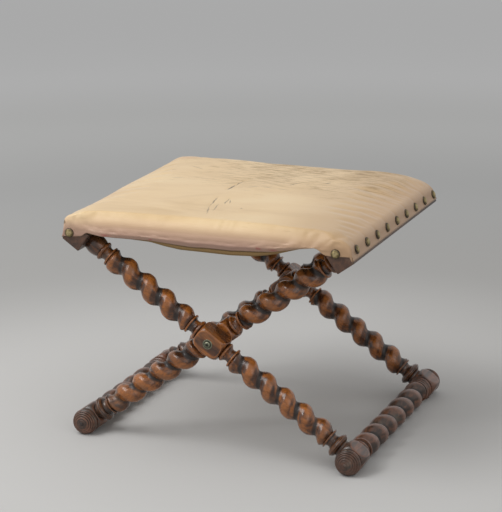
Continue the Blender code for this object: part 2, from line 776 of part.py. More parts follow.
def build_frame(stool, cutters, finishes, nail, side):
    """One X half: two legs, a floor rail and a seat rail with its nails."""
    outer = side == "outer"
    offset = OUTER_LEG_OFFSET if outer else INNER_LEG_OFFSET
    slope = math.pi / 2 - LEG_SLOPE
    frame = frame_empty(side + "_frame", stool, -slope if outer else slope)
    toward_seat = 1 if outer else -1

    floor_rail = place(
        floor_rail_mesh(offset, FLOOR_TWIST_LEADS[side], side + "_floor_rail"),
        side + "_floor_rail",
        stool,
        finishes["walnut"],
        frame,
        (0, 0, -LEG_LOWER_REACH),
        (-math.pi / 2, 0, 0),
    )
    half = SEAT_RAIL_WIDTH / 2
    seat_rail = box_piece(
        side + "_seat_rail",
        stool,
        finishes["rail"],
        frame,
        (0, 0, LEG_UPPER_REACH),
        (SEAT_RAIL_WIDTH, SEAT_RAIL_LENGTH, SEAT_RAIL_WIDTH),
    )
    head_shoulder = LEG_UPPER_REACH - half - SEAT_GAP
    foot_shoulder = -(LEG_LOWER_REACH - FOOT_BLOCK_WIDTH / 2 - SEAT_GAP)
    for end, where in ((-1, "front"), (1, "back")):
        name = f"{side}_{where}_leg"
        mesh = leg_mesh(name, *LEG_TWIST_PHASE_STEPS[f"{side}_{where}"])
        leg = place(mesh, name, stool, finishes["walnut"], frame, (0, end * offset, 0))
        bore = cylinder_cutter(
            cutters,
            f"{side}_{where}_pivot_bore",
            frame,
            (0, end * offset, 0),
            (math.pi / 2, 0, 0),
            RIVET_PIN_RADIUS + PIVOT_BORE_CLEARANCE,
            BLOCK_DEPTH + 2 * CUT_OVERRUN,
            RIVET_SIDES,
        )
        cut(leg, bore)
        name = f"{side}_{where}_head_mortise"
        head = (head_shoulder - CUT_OVERRUN, head_shoulder + head_tenon_length() + SEAT_GAP)
        cut(seat_rail, tenon_hole(cutters, name, frame, end * offset, *head))
        name = f"{side}_{where}_foot_mortise"
        foot = (foot_shoulder - FOOT_TENON_LENGTH - SEAT_GAP, foot_shoulder + CUT_OVERRUN)
        cut(floor_rail, tenon_hole(cutters, name, frame, end * offset, *foot))

    places = nail_places(toward_seat, outer)
    holes = nail_hole_cutter(cutters, side + "_nail_holes", frame, places)
    cut(seat_rail, holes)
    for number, (location, rotation) in enumerate(places, 1):
        place(nail, f"{side}_nail_{number:02d}", stool, finishes["brass"], frame, location, rotation)
    return frame, floor_rail, holes


def box_piece(name, group, finish, parent, location, size):
    """A squared bar with its long edges eased."""
    bm = bmesh.new()
    bmesh.ops.create_cube(bm, size=1, matrix=Matrix.Diagonal((*size, 1)))
    bar = place(mesh_from(bm, name), name, group, finish, parent, location)
    bevel = bar.modifiers.new("Eased edges", "BEVEL")
    bevel.width = SEAT_RAIL_EDGE
    bevel.segments = 1
    return bar


def build_pivots(stool, finishes, frame):
    """At each crossing, one rivet through both blocks and three washers."""
    rivet = rivet_mesh()
    washer = washer_mesh()
    middle = (OUTER_LEG_OFFSET + INNER_LEG_OFFSET) / 2
    outer_seat = OUTER_LEG_OFFSET + BLOCK_DEPTH / 2 + PIVOT_GAP + WASHER_THICKNESS / 2
    inner_seat = INNER_LEG_OFFSET - BLOCK_DEPTH / 2 - PIVOT_GAP - WASHER_THICKNESS / 2
    seats = (("outer", outer_seat), ("middle", middle), ("inner", inner_seat))
    for end, where in ((-1, "front"), (1, "back")):
        turn = (-end * math.pi / 2, 0, 0)
        place(rivet, f"{where}_pivot_rivet", stool, finishes["iron"], frame, (0, end * middle, 0), turn)
        for name, seat in seats:
            name = f"{where}_{name}_washer"
            place(washer, name, stool, finishes["iron"], frame, (0, end * seat, 0), turn)


def build_seat(stool, cutters, finishes, nail_holes):
    """The sling between the rails, the stuffing on it, and the cover nailed round both."""
    sling = place(sling_mesh(), "seat_sling", stool, finishes["linen"], None)
    solid = sling.modifiers.new("Thickness", "SOLIDIFY")
    solid.thickness = SLING_THICKNESS
    solid.offset = 0
    solid.use_even_offset = True

    stuffing = skin(seat_rings(COVER_THICKNESS + CLOTH_GAP, stuffing_bottom), "seat_stuffing")
    place(stuffing, "seat_stuffing", stool, finishes["wadding"], None)

    cover = skin(seat_rings(0.0, cover_bottom), "seat_cover")
    cover = place(cover, "seat_cover", stool, finishes["silk"], None)
    hollow = skin(seat_rings(COVER_THICKNESS, hollow_bottom), "cover_hollow")
    hollow = place(hollow, "cover_hollow", cutters, None, None)
    hollow.hide_render = True
    hollow.display_type = "WIRE"
    cut(cover, hollow)
    for holes in nail_holes:
        cut(cover, holes)


def main():
    clear_scene()
    stool = new_collection("folding_stool")
    cutters = new_collection("folding_stool_cutters", hidden=True)
    finishes = {
        "walnut": material("walnut", "6E4228", 0.34),
        "rail": material("rail_walnut", "5A463A", 0.52),
        "brass": material("nail_brass", "8A6A3C", 0.38, 1.0),
        "iron": material("pivot_iron", "6B625A", 0.42, 1.0),
        "silk": material("silk", "D9C09A", 0.62),
        "wadding": material("wadding", "CDBFA6", 0.95),
        "linen": material("linen", "B9A27C", 0.9),
    }
    nail = nail_mesh()
    outer, outer_rail, outer_holes = build_frame(stool, cutters, finishes, nail, "outer")
    _, inner_rail, inner_holes = build_frame(stool, cutters, finishes, nail, "inner")
    floor_depth = FOOT_BLOCK_WIDTH
    floor_length = LEG_LOWER_REACH * FLOOR_LENGTH_SHARE
    floor_width = OUTER_LEG_OFFSET * FLOOR_WIDTH_SHARE
    floor = box_cutter(
        cutters,
        "worn_feet",
        None,
        (0, 0, -floor_depth / 2),
        (0, 0, 0),
        (floor_length, floor_width, floor_depth),
    )
    cut(outer_rail, floor)
    cut(inner_rail, floor)
    build_pivots(stool, finishes, outer)
    build_seat(stool, cutters, finishes, (outer_holes, inner_holes))


main()
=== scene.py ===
"""A folding stool of twist-turned walnut with a worn, nailed silk seat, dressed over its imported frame."""

import math

import bmesh
import bpy
import numpy as np
from mathutils import Matrix, Vector


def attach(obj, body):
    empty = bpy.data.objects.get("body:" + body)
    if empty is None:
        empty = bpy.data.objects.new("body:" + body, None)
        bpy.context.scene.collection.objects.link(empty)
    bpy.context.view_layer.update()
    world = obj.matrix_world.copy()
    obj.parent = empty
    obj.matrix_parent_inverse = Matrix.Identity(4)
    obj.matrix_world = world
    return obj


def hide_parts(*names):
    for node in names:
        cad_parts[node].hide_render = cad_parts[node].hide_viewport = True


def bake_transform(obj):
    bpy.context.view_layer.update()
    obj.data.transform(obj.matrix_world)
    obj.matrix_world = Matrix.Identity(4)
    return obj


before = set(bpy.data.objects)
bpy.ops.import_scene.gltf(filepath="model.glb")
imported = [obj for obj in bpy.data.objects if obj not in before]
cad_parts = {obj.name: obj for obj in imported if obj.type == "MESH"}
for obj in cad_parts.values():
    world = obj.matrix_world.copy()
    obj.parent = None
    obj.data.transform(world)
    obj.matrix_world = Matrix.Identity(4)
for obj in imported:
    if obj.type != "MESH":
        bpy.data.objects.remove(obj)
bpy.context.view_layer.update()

# The frame's own measures, in metres
SLOPE = math.radians(35.5)
UPPER_REACH = 0.31
LOWER_REACH = 0.329
OUTER_LEG_Y = 0.225
INNER_LEG_Y = 0.1754
BLOCK_HALF = (0.0205, 0.024)
BLOCK_HALF_LENGTH = 0.028
FOOT_BLOCK_HALF = 0.0235
FOOT_BLOCK_HALF_LENGTH = 0.021
PIVOT_HEIGHT = FOOT_BLOCK_HALF + LOWER_REACH * math.sin(SLOPE)
SEAT_RAIL_HALF = 0.019
SEAT_RAIL_HALF_LENGTH = 0.257

# Turned work. Pommels are given as their corner's radius, their own length and their root's radius
SIDES = 72
LEG_POMMELS = (0.0313, 0.0185, 0.0182)
FOOT_POMMELS = (0.0304, 0.0205, 0.0215)
BEAD_RADII = (0.0155, 0.0187)
RING = 0.008
BLOCK_COVE = 0.012
LONG_COVE = 0.011
COVE_WAIST = 0.0122
FLANGE = 0.0032
FLANGE_RADIUS = 0.019
FOOT_COLLAR = 0.005
FOOT_TORUS = 0.013
HEAD_BARREL = 0.029
TENON_COLLAR = 0.0012
RAIL_RINGS = 0.01
RAIL_BEAD = 0.006
RAIL_COVE = 0.008
TWIST_RADII = (0.023, 0.0134)
LOWER_LEAD = 0.0433
UPPER_LEAD = 0.0443
RAIL_LEADS = {"outer": 0.0544, "inner": 0.05}
RING_SPACING = 0.0011

# The seat's own measures
CLOTH_GAP = 0.0003
CLOTH = 0.0016
END_Y = SEAT_RAIL_HALF_LENGTH + CLOTH_GAP + CLOTH
NAIL_OUT = {"outer": 0.2761, "inner": 0.274}
NAIL_HEIGHT = 0.4044
NAIL_RISE = {"outer": 0.0, "inner": 0.0045}
NAIL_LEAN = math.radians(17)
NAIL_RUN = 0.476
NAIL_YS = [-0.229 + NAIL_RUN * k / 8 for k in range(9)]
SWELL = 0.0035
SLING_Y = 0.2518
SLING_SAG = 0.0135


# Colour and nodes

RAMP = "ShaderNodeValToRGB"
MAPPING = "ShaderNodeMapping"
ATTRIBUTE = "ShaderNodeAttribute"
COMBINE = "ShaderNodeCombineXYZ"
SEPARATE = "ShaderNodeSeparateXYZ"


def linear(value):
    return value / 12.92 if value <= 0.04045 else ((value + 0.055) / 1.055) ** 2.4


def hex_colour(text):
    """sRGB hex as linear RGBA."""
    return (*[linear(int(text[i : i + 2], 16) / 255) for i in (0, 2, 4)], 1.0)


def put(tree, socket, value):
    """A value, or another node's output, goes into a socket."""
    if isinstance(value, bpy.types.NodeSocket):
        tree.links.new(value, socket)
    else:
        socket.default_value = value


def add(tree, kind, inputs=(), out=0, stops=(), curve="LINEAR", **settings):
    """One node with its settings and links, and one of its outputs. inputs go in order, or by name or number.
    A kind in capitals is a Math node's operation. A ramp's stops are (place, hex colour or grey level)."""
    if kind.isupper():
        settings["operation"] = kind
        kind = "ShaderNodeMath"
    node = tree.nodes.new(kind)
    for name, value in settings.items():
        setattr(node, name, value)
    if stops:
        elements = node.color_ramp.elements
        node.color_ramp.interpolation = curve
        while len(elements) < len(stops):
            elements.new(0.5)
        for element, (place, shade) in zip(elements, stops):
            element.position = place
            element.color = hex_colour(shade) if isinstance(shade, str) else (shade, shade, shade, 1.0)
    for key, value in inputs.items() if isinstance(inputs, dict) else enumerate(inputs):
        put(tree, node.inputs[key], value)
    return node.outputs[out]


def new_material(name):
    made = bpy.data.materials.new(name)
    made.use_nodes = True
    tree = made.node_tree
    return made, tree, tree.nodes["Principled BSDF"]


def patterns(tree, place, *kinds):
    """Noises on a surface, each from its waves in a metre, detail, roughness and distortion."""
    made = []
    for waves, detail, roughness, distortion in kinds:
        drawn_on = add(tree, MAPPING, {"Vector": place, "Scale": waves})
        fineness = {"Scale": 1.0, "Detail": detail, "Roughness": roughness, "Distortion": distortion}
        made.append(add(tree, "ShaderNodeTexNoise", {"Vector": drawn_on, **fineness}))
    return made


def finish(tree, shader, colour, layers, roughness, relief, others=()):
    """Gives a shader its colour, with layers of (amount, colour) laid over it in turn, its roughness, its
    relief as (height, strength, depth in metres), and its other sockets."""
    for amount, over in layers:
        over = hex_colour(over) if isinstance(over, str) else over
        colour = add(tree, "ShaderNodeMix", {0: amount, 6: colour, 7: over}, 2, data_type="RGBA")
    height, strength, depth = relief
    bump = add(tree, "ShaderNodeBump", {"Height": height, "Strength": strength, "Distance": depth})
    sockets = {"Base Color": colour, "Roughness": roughness, "Normal": bump, **dict(others)}
    for name, value in sockets.items():
        put(tree, shader.inputs[name], value)


def walnut(name, crown, body, hollow, grey, polish, follow_grain=True):
    """Walnut turned on a lathe, waxed and handled for centuries: crowns rubbed to orange-brown and glossy,
    with a painted highlight, hollows black with old wax and painted shade, and fine dark pores that run along
    the stock."""
    made, tree, shader = new_material(name)
    if follow_grain:
        along = add(tree, ATTRIBUTE, out="Vector", attribute_name="grain")
    else:
        place = add(tree, "ShaderNodeTexCoord", out="Object")
        along = add(tree, MAPPING, {"Vector": place, "Rotation": (math.pi / 2, 0, 0)})
    # Across the stock the figure is 26 mm wide, streaks 2.4 mm, pores 0.7 mm, blotches 38 mm and mottle 9 mm
    figure, streak, pores, blotch, mottle = patterns(
        tree,
        along,
        ((38, 38, 7), 4.0, 0.6, 0.9),
        ((420, 420, 16), 2.0, 0.6, 0.0),
        ((1500, 1500, 70), 1.0, 0.5, 0.0),
        ((26, 26, 26), 3.0, 0.6, 0.0),
        ((110, 110, 45), 3.0, 0.6, 0.6),
    )
    wood = add(tree, RAMP, [figure], stops=((0.3, hollow), (0.46, body), (0.6, crown)))
    layers = [(add(tree, "MULTIPLY", [streak, 0.35]), body)]
    rough = add(tree, "MULTIPLY_ADD", [blotch, 0.3, polish])
    if follow_grain:
        relief = add(tree, ATTRIBUTE, out="Fac", attribute_name="relief")
        end_darkening = add(tree, ATTRIBUTE, out="Fac", attribute_name="end_darkening")
        wear = add(tree, "ADD", [relief, add(tree, "MULTIPLY_ADD", [blotch, 0.7, -0.35])])
        # Hollows darkened to the hollow colour: old wax, and painted shade in the valleys
        hollow_wax_and_shade = add(tree, RAMP, [wear], stops=((0.0, 1.0), (0.3, 0.0)), curve="EASE")
        # Crowns lightened to the crown colour: rubbed wear, and a painted highlight
        rubbed = add(tree, RAMP, [wear], stops=((0.72, 0.0), (1.0, 0.75)), curve="EASE")
        # The ends of each turned length are darkened
        layers += [(hollow_wax_and_shade, hollow), (rubbed, crown), (add(tree, "MULTIPLY", [end_darkening, 0.72]), "33231A")]
        rough = add(tree, "MULTIPLY_ADD", [hollow_wax_and_shade, 0.35, rough])
    pitted = add(tree, RAMP, [pores], stops=((0.56, 0.0), (0.7, 0.55)))
    layers += [
        (add(tree, RAMP, [mottle], stops=((0.4, 0.34), (0.6, 0.0)), curve="EASE"), hollow),
        (add(tree, RAMP, [blotch], stops=((0.5, 0.0), (0.8, 0.5)), curve="EASE"), grey),
        (pitted, "1E120C"),
    ]
    height = add(tree, "SUBTRACT", [add(tree, "MULTIPLY", [streak, 0.5]), pitted])
    wax = {"IOR": 1.5, "Coat Weight": 0.3, "Coat Roughness": 0.18}
    finish(tree, shader, wood, layers, rough, (height, 0.25, 0.0004), wax)
    return made


def antique_metal(name, bright, dark, film, rim, rough):
    """Old cast metal gone brown, with the high spots rubbed bright."""
    made, tree, shader = new_material(name)
    place = add(tree, "ShaderNodeTexCoord", out="Object")
    relief = add(tree, ATTRIBUTE, out="Fac", attribute_name="relief")
    # Mottle of 4 mm and pits of 1 mm
    mottle, pits = patterns(tree, place, ((260, 260, 260), 4.0, 0.65, 0.0), ((900, 900, 900), 2.0, 0.6, 0.0))
    worn = add(tree, "ADD", [relief, add(tree, "SUBTRACT", [mottle, 0.5])])
    shade = add(tree, RAMP, [worn], stops=((0.12, rim), (0.45, dark), (0.72, film), (1.0, bright)))
    metal = add(tree, RAMP, [worn], stops=((0.2, 0.35), (0.8, 1.0)))
    roughness = add(tree, "MULTIPLY_ADD", [mottle, 0.35, rough])
    height = add(tree, "MULTIPLY_ADD", [pits, 0.4, mottle])
    finish(tree, shader, shade, (), roughness, (height, 0.5, 0.0006), {"Metallic": metal})
    return made


# Marks on the silk: the middle (x, y, z), half sizes along, across and upwards, turn in degrees, strength
# The dark marks that run along the creases are painted crease shade, and the last two, dark dashes at the
# front corners, are painted shade in slits. The others are stains
DARK_MARKS = (
    ((-0.0513, 0.01, 0.44), (0.024, 0.0023, 1.0), 90, 1.0),
    ((-0.05, 0.047, 0.44), (0.02, 0.0019, 1.0), 87, 0.8),
    ((-0.026, -0.173, 0.44), (0.038, 0.0018, 1.0), 107, 0.42),
    ((-0.041, -0.107, 0.44), (0.036, 0.002, 1.0), 99, 0.6),
    ((-0.02, -0.152, 0.44), (0.035, 0.0016, 1.0), 101, 0.45),
    ((-0.019, -0.098, 0.44), (0.025, 0.0018, 1.0), 98, 0.6),
    ((-0.0115, -0.101, 0.44), (0.019, 0.0016, 1.0), 107, 0.5),
    ((0.026, -0.1435, 0.44), (0.0024, 0.002, 1.0), 0, 0.9),
    ((-0.014, 0.021, 0.44), (0.016, 0.0019, 1.0), 36, 0.6),
    ((0.014, 0.026, 0.44), (0.018, 0.0018, 1.0), -12, 0.55),
    ((0.045, 0.0235, 0.44), (0.016, 0.0016, 1.0), 2, 0.5),
    ((0.107, 0.109, 0.44), (0.0075, 0.0028, 1.0), 60, 0.7),
    ((0.051, 0.071, 0.44), (0.018, 0.002, 1.0), 69, 0.6),
    ((-0.179, 0.148, 0.44), (0.024, 0.0018, 1.0), -33, 0.45),
    ((-0.18, 0.054, 0.44), (0.017, 0.0016, 1.0), 12, 0.45),
    ((0.267, -0.256, 0.429), (0.0075, 0.02, 0.0018), 0, 1.0),
    ((-0.275, -0.256, 0.421), (0.006, 0.02, 0.005), 0, 1.0),
)
RED_MARKS = (
    ((-0.105, -0.2589, 0.4015), (0.006, 0.02, 0.003), 0, 0.7),
    ((0.102, -0.2589, 0.403), (0.008, 0.02, 0.0035), 0, 0.7),
    ((0.129, -0.2589, 0.401), (0.012, 0.02, 0.004), 0, 0.55),
    ((-0.1915, -0.2589, 0.402), (0.014, 0.02, 0.0035), 0, 0.55),
    ((-0.235, 0.235, 0.44), (0.045, 0.026, 1.0), 20, 0.18),
)


def marked(tree, place, marks):
    """How strongly any of the marks covers a point, each a patch that thins out towards its edge."""
    most = 0.0
    for middle, half, turn, strength in marks:
        spread = {"Vector": place, "Location": middle, "Rotation": (0, 0, math.radians(turn)), "Scale": half}
        patch = add(tree, MAPPING, spread, vector_type="TEXTURE")
        thinned = add(tree, "ShaderNodeTexGradient", [patch], "Fac", gradient_type="SPHERICAL")
        most = add(tree, "MAXIMUM", [add(tree, "MULTIPLY", [thinned, strength]), most])
    return most


def worn_silk():
    """Ribbed silk on a stuffed seat, faded to straw with a dull gleam, and rubbed through to its brown warp
    in short streaks across the top, where sitters slid back."""
    made, tree, shader = new_material("ribbed silk")
    cloth = add(tree, ATTRIBUTE, out="Vector", attribute_name="cloth")
    rest = add(tree, ATTRIBUTE, out="Vector", attribute_name="rest")
    hem = add(tree, ATTRIBUTE, out="Fac", attribute_name="hem")
    spot = add(tree, SEPARATE, [rest]).node.outputs
    # A rib of this silk is 0.5 mm, too fine for the view, so the ribs are drawn 2 mm apart. The bands are
    # 7 mm apart, the rubbed streaks 3 mm and the specks 2 mm
    broad, bands, ribs, speck, streaks, clouds = patterns(
        tree,
        cloth,
        ((4, 9, 1), 4.0, 0.6, 0.6),
        ((6, 150, 1), 3.0, 0.6, 0.0),
        ((26, 520, 1), 2.0, 0.5, 0.0),
        ((520, 520, 520), 2.0, 0.6, 0.0),
        ((24, 330, 1), 4.0, 0.62, 0.4),
        ((9, 16, 1), 3.0, 0.6, 0.0),
    )
    # How far down the sides, to the right and to the back a point lies, each from 0 to 1
    low = add(tree, "MULTIPLY_ADD", [spot[2], -1 / 0.045, 0.438 / 0.045], use_clamp=True)
    right = add(tree, "MULTIPLY_ADD", [spot[0], 1 / 0.56, 0.5])
    far = add(tree, "MULTIPLY_ADD", [spot[1], 1 / 0.52, 0.5])
    straw = add(tree, RAMP, [broad], stops=((0.3, "C2A271"), (0.5, "D3B586"), (0.7, "D9BF92")))
    pink = add(tree, RAMP, [broad], stops=((0.3, "C29C80"), (0.55, "CDA98B"), (0.72, "D5B496")))
    # The rubbed streaks lie over the back half of the top, thickest along its far edge
    back = add(tree, RAMP, [far], stops=((0.42, 0.0), (0.62, 0.62), (0.94, 0.84), (1.0, 1.0)))
    side = add(tree, RAMP, [right], stops=((0.18, 0.35), (0.42, 1.0), (0.9, 0.85), (1.0, 0.4)))
    rubbed = add(tree, "MULTIPLY_ADD", [add(tree, "MULTIPLY", [back, side]), 0.29, streaks])
    rubbed = add(tree, "MULTIPLY_ADD", [clouds, 0.3, rubbed])
    bare = add(tree, RAMP, [rubbed], stops=((0.825, 0.0), (0.955, 0.9)))
    bare = add(tree, "MULTIPLY", [bare, add(tree, RAMP, [low], stops=((0.1, 1.0), (0.3, 0.15)))])
    # The marks have crooked edges
    wobble = add(tree, "ShaderNodeTexNoise", {"Vector": cloth, "Scale": 90.0, "Detail": 2.0}, "Color")
    shift = add(tree, "ShaderNodeVectorMath", [wobble, (0.5, 0.5, 0.5)], operation="SUBTRACT")
    bent = add(tree, "ShaderNodeVectorMath", [shift, (0.006, 0.006, 0.004), rest], operation="MULTIPLY_ADD")
    red = add(tree, "MULTIPLY", [marked(tree, bent, RED_MARKS), speck])
    # Dark marks: stains, with painted shade along the creases and in the corner slits
    dark = marked(tree, bent, DARK_MARKS)
    layers = (
        (add(tree, RAMP, [low], stops=((0.0, 0.0), (0.5, 1.0))), pink),
        # Darker down the walls towards the hems: discolouration, and painted shade where the cloth rolls
        # under
        (add(tree, RAMP, [low], stops=((0.18, 0.0), (0.9, 0.9)), curve="EASE"), "8C6660"),
        (add(tree, "MULTIPLY", [bands, 0.2]), "BC9E78"),
        (add(tree, "MULTIPLY", [ribs, 0.12]), "F0DDBD"),
        # Darker towards the right edge: painted shade on the seat's right slope
        (add(tree, RAMP, [right], stops=((0.62, 0.0), (0.96, 0.7)), curve="EASE"), "A98862"),
        (bare, "86693A"),
        (add(tree, RAMP, [dark], stops=((0.02, 0.0), (0.35, 0.72), (1.0, 0.95))), "55452C"),
        (add(tree, RAMP, [red], stops=((0.01, 0.0), (0.24, 0.75))), "9A4C48"),
        (add(tree, "MULTIPLY", [speck, 0.1]), "A98F6E"),
        # Darker along the hems: the edge's own colour, with painted shade where it turns under
        (add(tree, RAMP, [hem], stops=((0.25, 0.0), (0.9, 0.75))), "6B5036"),
    )
    rough = add(tree, "MULTIPLY_ADD", [bare, 0.25, 0.5])
    height = add(tree, "MULTIPLY_ADD", [bands, 0.6, add(tree, "MULTIPLY", [ribs, 0.7])])
    height = add(tree, "MULTIPLY_ADD", [bare, -0.5, height])
    gleam = {"Sheen Weight": 0.25, "Sheen Roughness": 0.4, "IOR": 1.5}
    finish(tree, shader, straw, layers, rough, (height, 0.22, 0.0008), gleam)
    return made


def girth_linen():
    """Coarse plain-woven linen, unbleached and dusty."""
    made, tree, shader = new_material("girth linen")
    place = add(tree, "ShaderNodeTexCoord", out="Object")
    # Threads of 0.8 mm are too fine to show, so they are drawn 3.2 mm apart
    threads = {"Vector": place, "Scale": 98.0, "Distortion": 0.6}
    warp, weft = [add(tree, "ShaderNodeTexWave", threads, "Fac", bands_direction=way) for way in "XY"]
    weave = add(tree, "MULTIPLY", [warp, weft])
    (blotch,) = patterns(tree, place, ((18, 18, 18), 4.0, 0.6, 0.0))
    shade = add(tree, RAMP, [blotch], stops=((0.3, "A88A58"), (0.7, "BEA06C")))
    layers = [(add(tree, "MULTIPLY", [weave, 0.5]), shade)]
    finish(tree, shader, hex_colour("806640"), layers, 0.92, (weave, 0.6, 0.0008))
    return made


WALNUT = walnut("waxed walnut", "A8652C", "58321A", "1E120C", "66503E", 0.12)
FOOT_WALNUT = walnut("worn dark walnut", "7A4E38", "4A352A", "1F1713", "6A665C", 0.2)
RAIL_WALNUT = walnut("plain walnut rail", "6A4630", "4C3325", "2A1C15", "75685A", 0.45, follow_grain=False)
BRONZE = antique_metal("nail bronze", "BBAA80", "5A4E3A", "7C6E4C", "221A13", 0.3)
IRON = antique_metal("pivot iron", "8E8F7C", "3E3E32", "56584A", "1E1C18", 0.3)
SILK = worn_silk()
LINEN = girth_linen()


# Objects and meshes


def linked(name, data):
    """A new object in the scene, at the origin."""
    obj = bpy.data.objects.new(name, data)
    bpy.context.scene.collection.objects.link(obj)
    return obj


def apply_modifiers(obj):
    """Gives an object the plain mesh that its modifiers make, and takes them off."""
    graph = bpy.context.evaluated_depsgraph_get()
    mesh = bpy.data.meshes.new_from_object(obj.evaluated_get(graph))
    obj.modifiers.clear()
    obj.data = mesh
    return mesh


def set_attribute(mesh, name, kind, values):
    layer = mesh.attributes.get(name) or mesh.attributes.new(name, kind, "POINT")
    key = "vector" if kind == "FLOAT_VECTOR" else "value"
    layer.data.foreach_set(key, np.asarray(values, np.float32).ravel())


def ringed(stations, radii, relief):
    """A closed mesh through rings along +Z. radii and relief have a row for each station."""
    stations = np.asarray(stations, float)
    radii = np.asarray(radii, float)
    rings, sides = radii.shape
    angles = np.arange(sides) * math.tau / sides
    points = np.empty((rings, sides, 3))
    points[..., 0] = radii * np.cos(angles)
    points[..., 1] = radii * np.sin(angles)
    points[..., 2] = stations[:, None]
    flat = points.reshape(-1, 3)
    ends = np.array([[0, 0, stations[0]], [0, 0, stations[-1]]])
    index = np.arange(rings * sides).reshape(rings, sides)
    beside = np.roll(index, -1, axis=1)
    quads = np.stack([index[:-1], beside[:-1], beside[1:], index[1:]], axis=-1).reshape(-1, 4).tolist()
    first, last = len(flat), len(flat) + 1
    fans = [[first, b, a] for a, b in zip(index[0], beside[0])]
    fans += [[last, a, b] for a, b in zip(index[-1], beside[-1])]
    faces = [[int(i) for i in face] for face in quads + fans]
    mesh = bpy.data.meshes.new("turning")
    everything = np.vstack([flat, ends])
    mesh.from_pydata(everything.tolist(), [], faces)
    levels = np.concatenate([np.asarray(relief, float).ravel(), [0.5, 0.5]])
    set_attribute(mesh, "relief", "FLOAT", levels)
    set_attribute(mesh, "grain", "FLOAT_VECTOR", everything)
    mesh.shade_smooth()
    mesh.set_sharp_from_angle(angle=math.radians(38))
    return mesh


def turned(profile):
    """A turned length from (height, radius) stations. Its relief is how far each station stands over the
    average of the 4 mm to either side."""
    if profile[0][0] > profile[-1][0]:
        profile = profile[::-1]
    stations = np.array([z for z, _ in profile])
    radius = np.array([r for _, r in profile])
    grid = np.linspace(stations.min(), stations.max(), 400)
    order = np.argsort(stations, kind="stable")
    line = np.interp(grid, stations[order], radius[order])
    reach = max(1, int(0.004 / (grid[1] - grid[0])))
    kernel = np.ones(2 * reach + 1) / (2 * reach + 1)
    around = np.convolve(np.pad(line, reach, mode="edge"), kernel, mode="valid")
    level = np.clip(0.55 + (radius - np.interp(stations, grid, around)) / 0.003, 0, 1.1)
    return ringed(stations, np.repeat(radius[:, None], SIDES, 1), np.repeat(level[:, None], SIDES, 1))


def half_round(z_from, z_to, edge, crown, steps=14, grooves=()):
    """A bead, with fine grooves cut at shares of its length."""
    points = []
    for k in range(steps + 1):
        share = k / steps
        radius = edge + (crown - edge) * math.sin(math.pi * share) ** 0.85
        points.append((z_from + (z_to - z_from) * share, radius))
    for groove in grooves:
        fine = []
        for z, radius in points:
            near = abs((z - z_from) / (z_to - z_from) - groove)
            fine.append((z, radius - 0.0009 * math.exp(-((near / 0.05) ** 2))))
        points = fine
    return points


def hollow(z_from, z_to, radius_from, radius_to, waist, steps=12):
    points = []
    for k in range(steps + 1):
        share = k / steps
        line = radius_from + (radius_to - radius_from) * share
        dip = math.sin(math.pi * share)
        points.append((z_from + (z_to - z_from) * share, line - (line - waist) * dip))
    return points


def fillet(z_from, z_to, radius, ease=0.0007):
    """A thin disc with eased edges, going either way along the axis."""
    way = 1 if z_to > z_from else -1
    ease = min(ease, abs(z_to - z_from) / 2.2)
    points = [(z_from, radius - ease)]
    for degrees in (30, 60, 90):
        a = math.radians(degrees)
        points.append((z_from + way * ease * (1 - math.cos(a)), radius - ease * (1 - math.sin(a))))
    for degrees in (90, 60, 30):
        a = math.radians(degrees)
        points.append((z_to - way * ease * (1 - math.cos(a)), radius - ease * (1 - math.sin(a))))
    points.append((z_to, radius - ease))
    return points


def squared(z_from, z_to, half_x, half_y, corner, pommel, root, sides=112, ease=0.001):
    """A block left square from the blank, its ends turned to pommels, with its arrises worn soft."""
    half = (z_to - z_from) / 2
    pommel_run = pommel * (1 - np.cos(np.linspace(0, math.pi / 2, 26)))
    near = np.concatenate([pommel_run, np.linspace(pommel, half, 12)[1:]])
    offsets = np.concatenate([near, 2 * half - near[::-1][1:]])
    angles = np.arange(sides) * math.tau / sides
    to_x = half_x / np.maximum(np.abs(np.cos(angles)), 1e-6)
    to_y = half_y / np.maximum(np.abs(np.sin(angles)), 1e-6)
    radii = []
    relief = []
    for offset in offsets:
        from_end = min(offset, 2 * half - offset)
        share = min(1.0, from_end / pommel)
        limit = root + (corner - root) * math.sqrt(max(0.0, 1 - (1 - share) ** 2))
        soft = -ease * np.log(np.exp(-to_x / ease) + np.exp(-to_y / ease) + np.exp(-limit / ease))
        radii.append(soft)
        sharp = np.minimum(np.minimum(to_x, to_y), limit)
        relief.append(0.45 + 0.9 * np.clip((sharp - soft) / (ease * 0.7), 0, 1))
    return ringed(z_from + offsets, radii, relief)


def grid_mesh(points, name):
    """A sheet through rows of points, which face upwards where rows run along +Y and columns along +X."""
    rows, columns, _ = points.shape
    index = np.arange(rows * columns).reshape(rows, columns)
    quads = np.stack([index[:-1, :-1], index[:-1, 1:], index[1:, 1:], index[1:, :-1]], -1).reshape(-1, 4)
    mesh = bpy.data.meshes.new(name)
    mesh.from_pydata(points.reshape(-1, 3).tolist(), [], quads.tolist())
    mesh.shade_smooth()
    return mesh


def coordinates(mesh, field="co"):
    values = np.empty(len(mesh.vertices) * 3, np.float32)
    mesh.vertices.foreach_get(field, values)
    return values.reshape(-1, 3).astype(float)


def put_coordinates(mesh, co):
    mesh.vertices.foreach_set("co", np.asarray(co, np.float32).ravel())
    mesh.update()


def in_one_material(mesh, material):
    mesh.materials.clear()
    mesh.materials.append(material)


# Trees of Geometry Nodes


def new_tree(name, result, kinds):
    """A tree with its named inputs, by kind, and the sockets that they come out of."""
    tree = bpy.data.node_groups.new(name, "GeometryNodeTree")
    tree.interface.new_socket(result, in_out="OUTPUT", socket_type="NodeSocketGeometry")
    for kind, names in kinds.items():
        for each in names:
            tree.interface.new_socket(each, in_out="INPUT", socket_type="NodeSocket" + kind)
    return tree, tree.nodes.new("NodeGroupInput").outputs


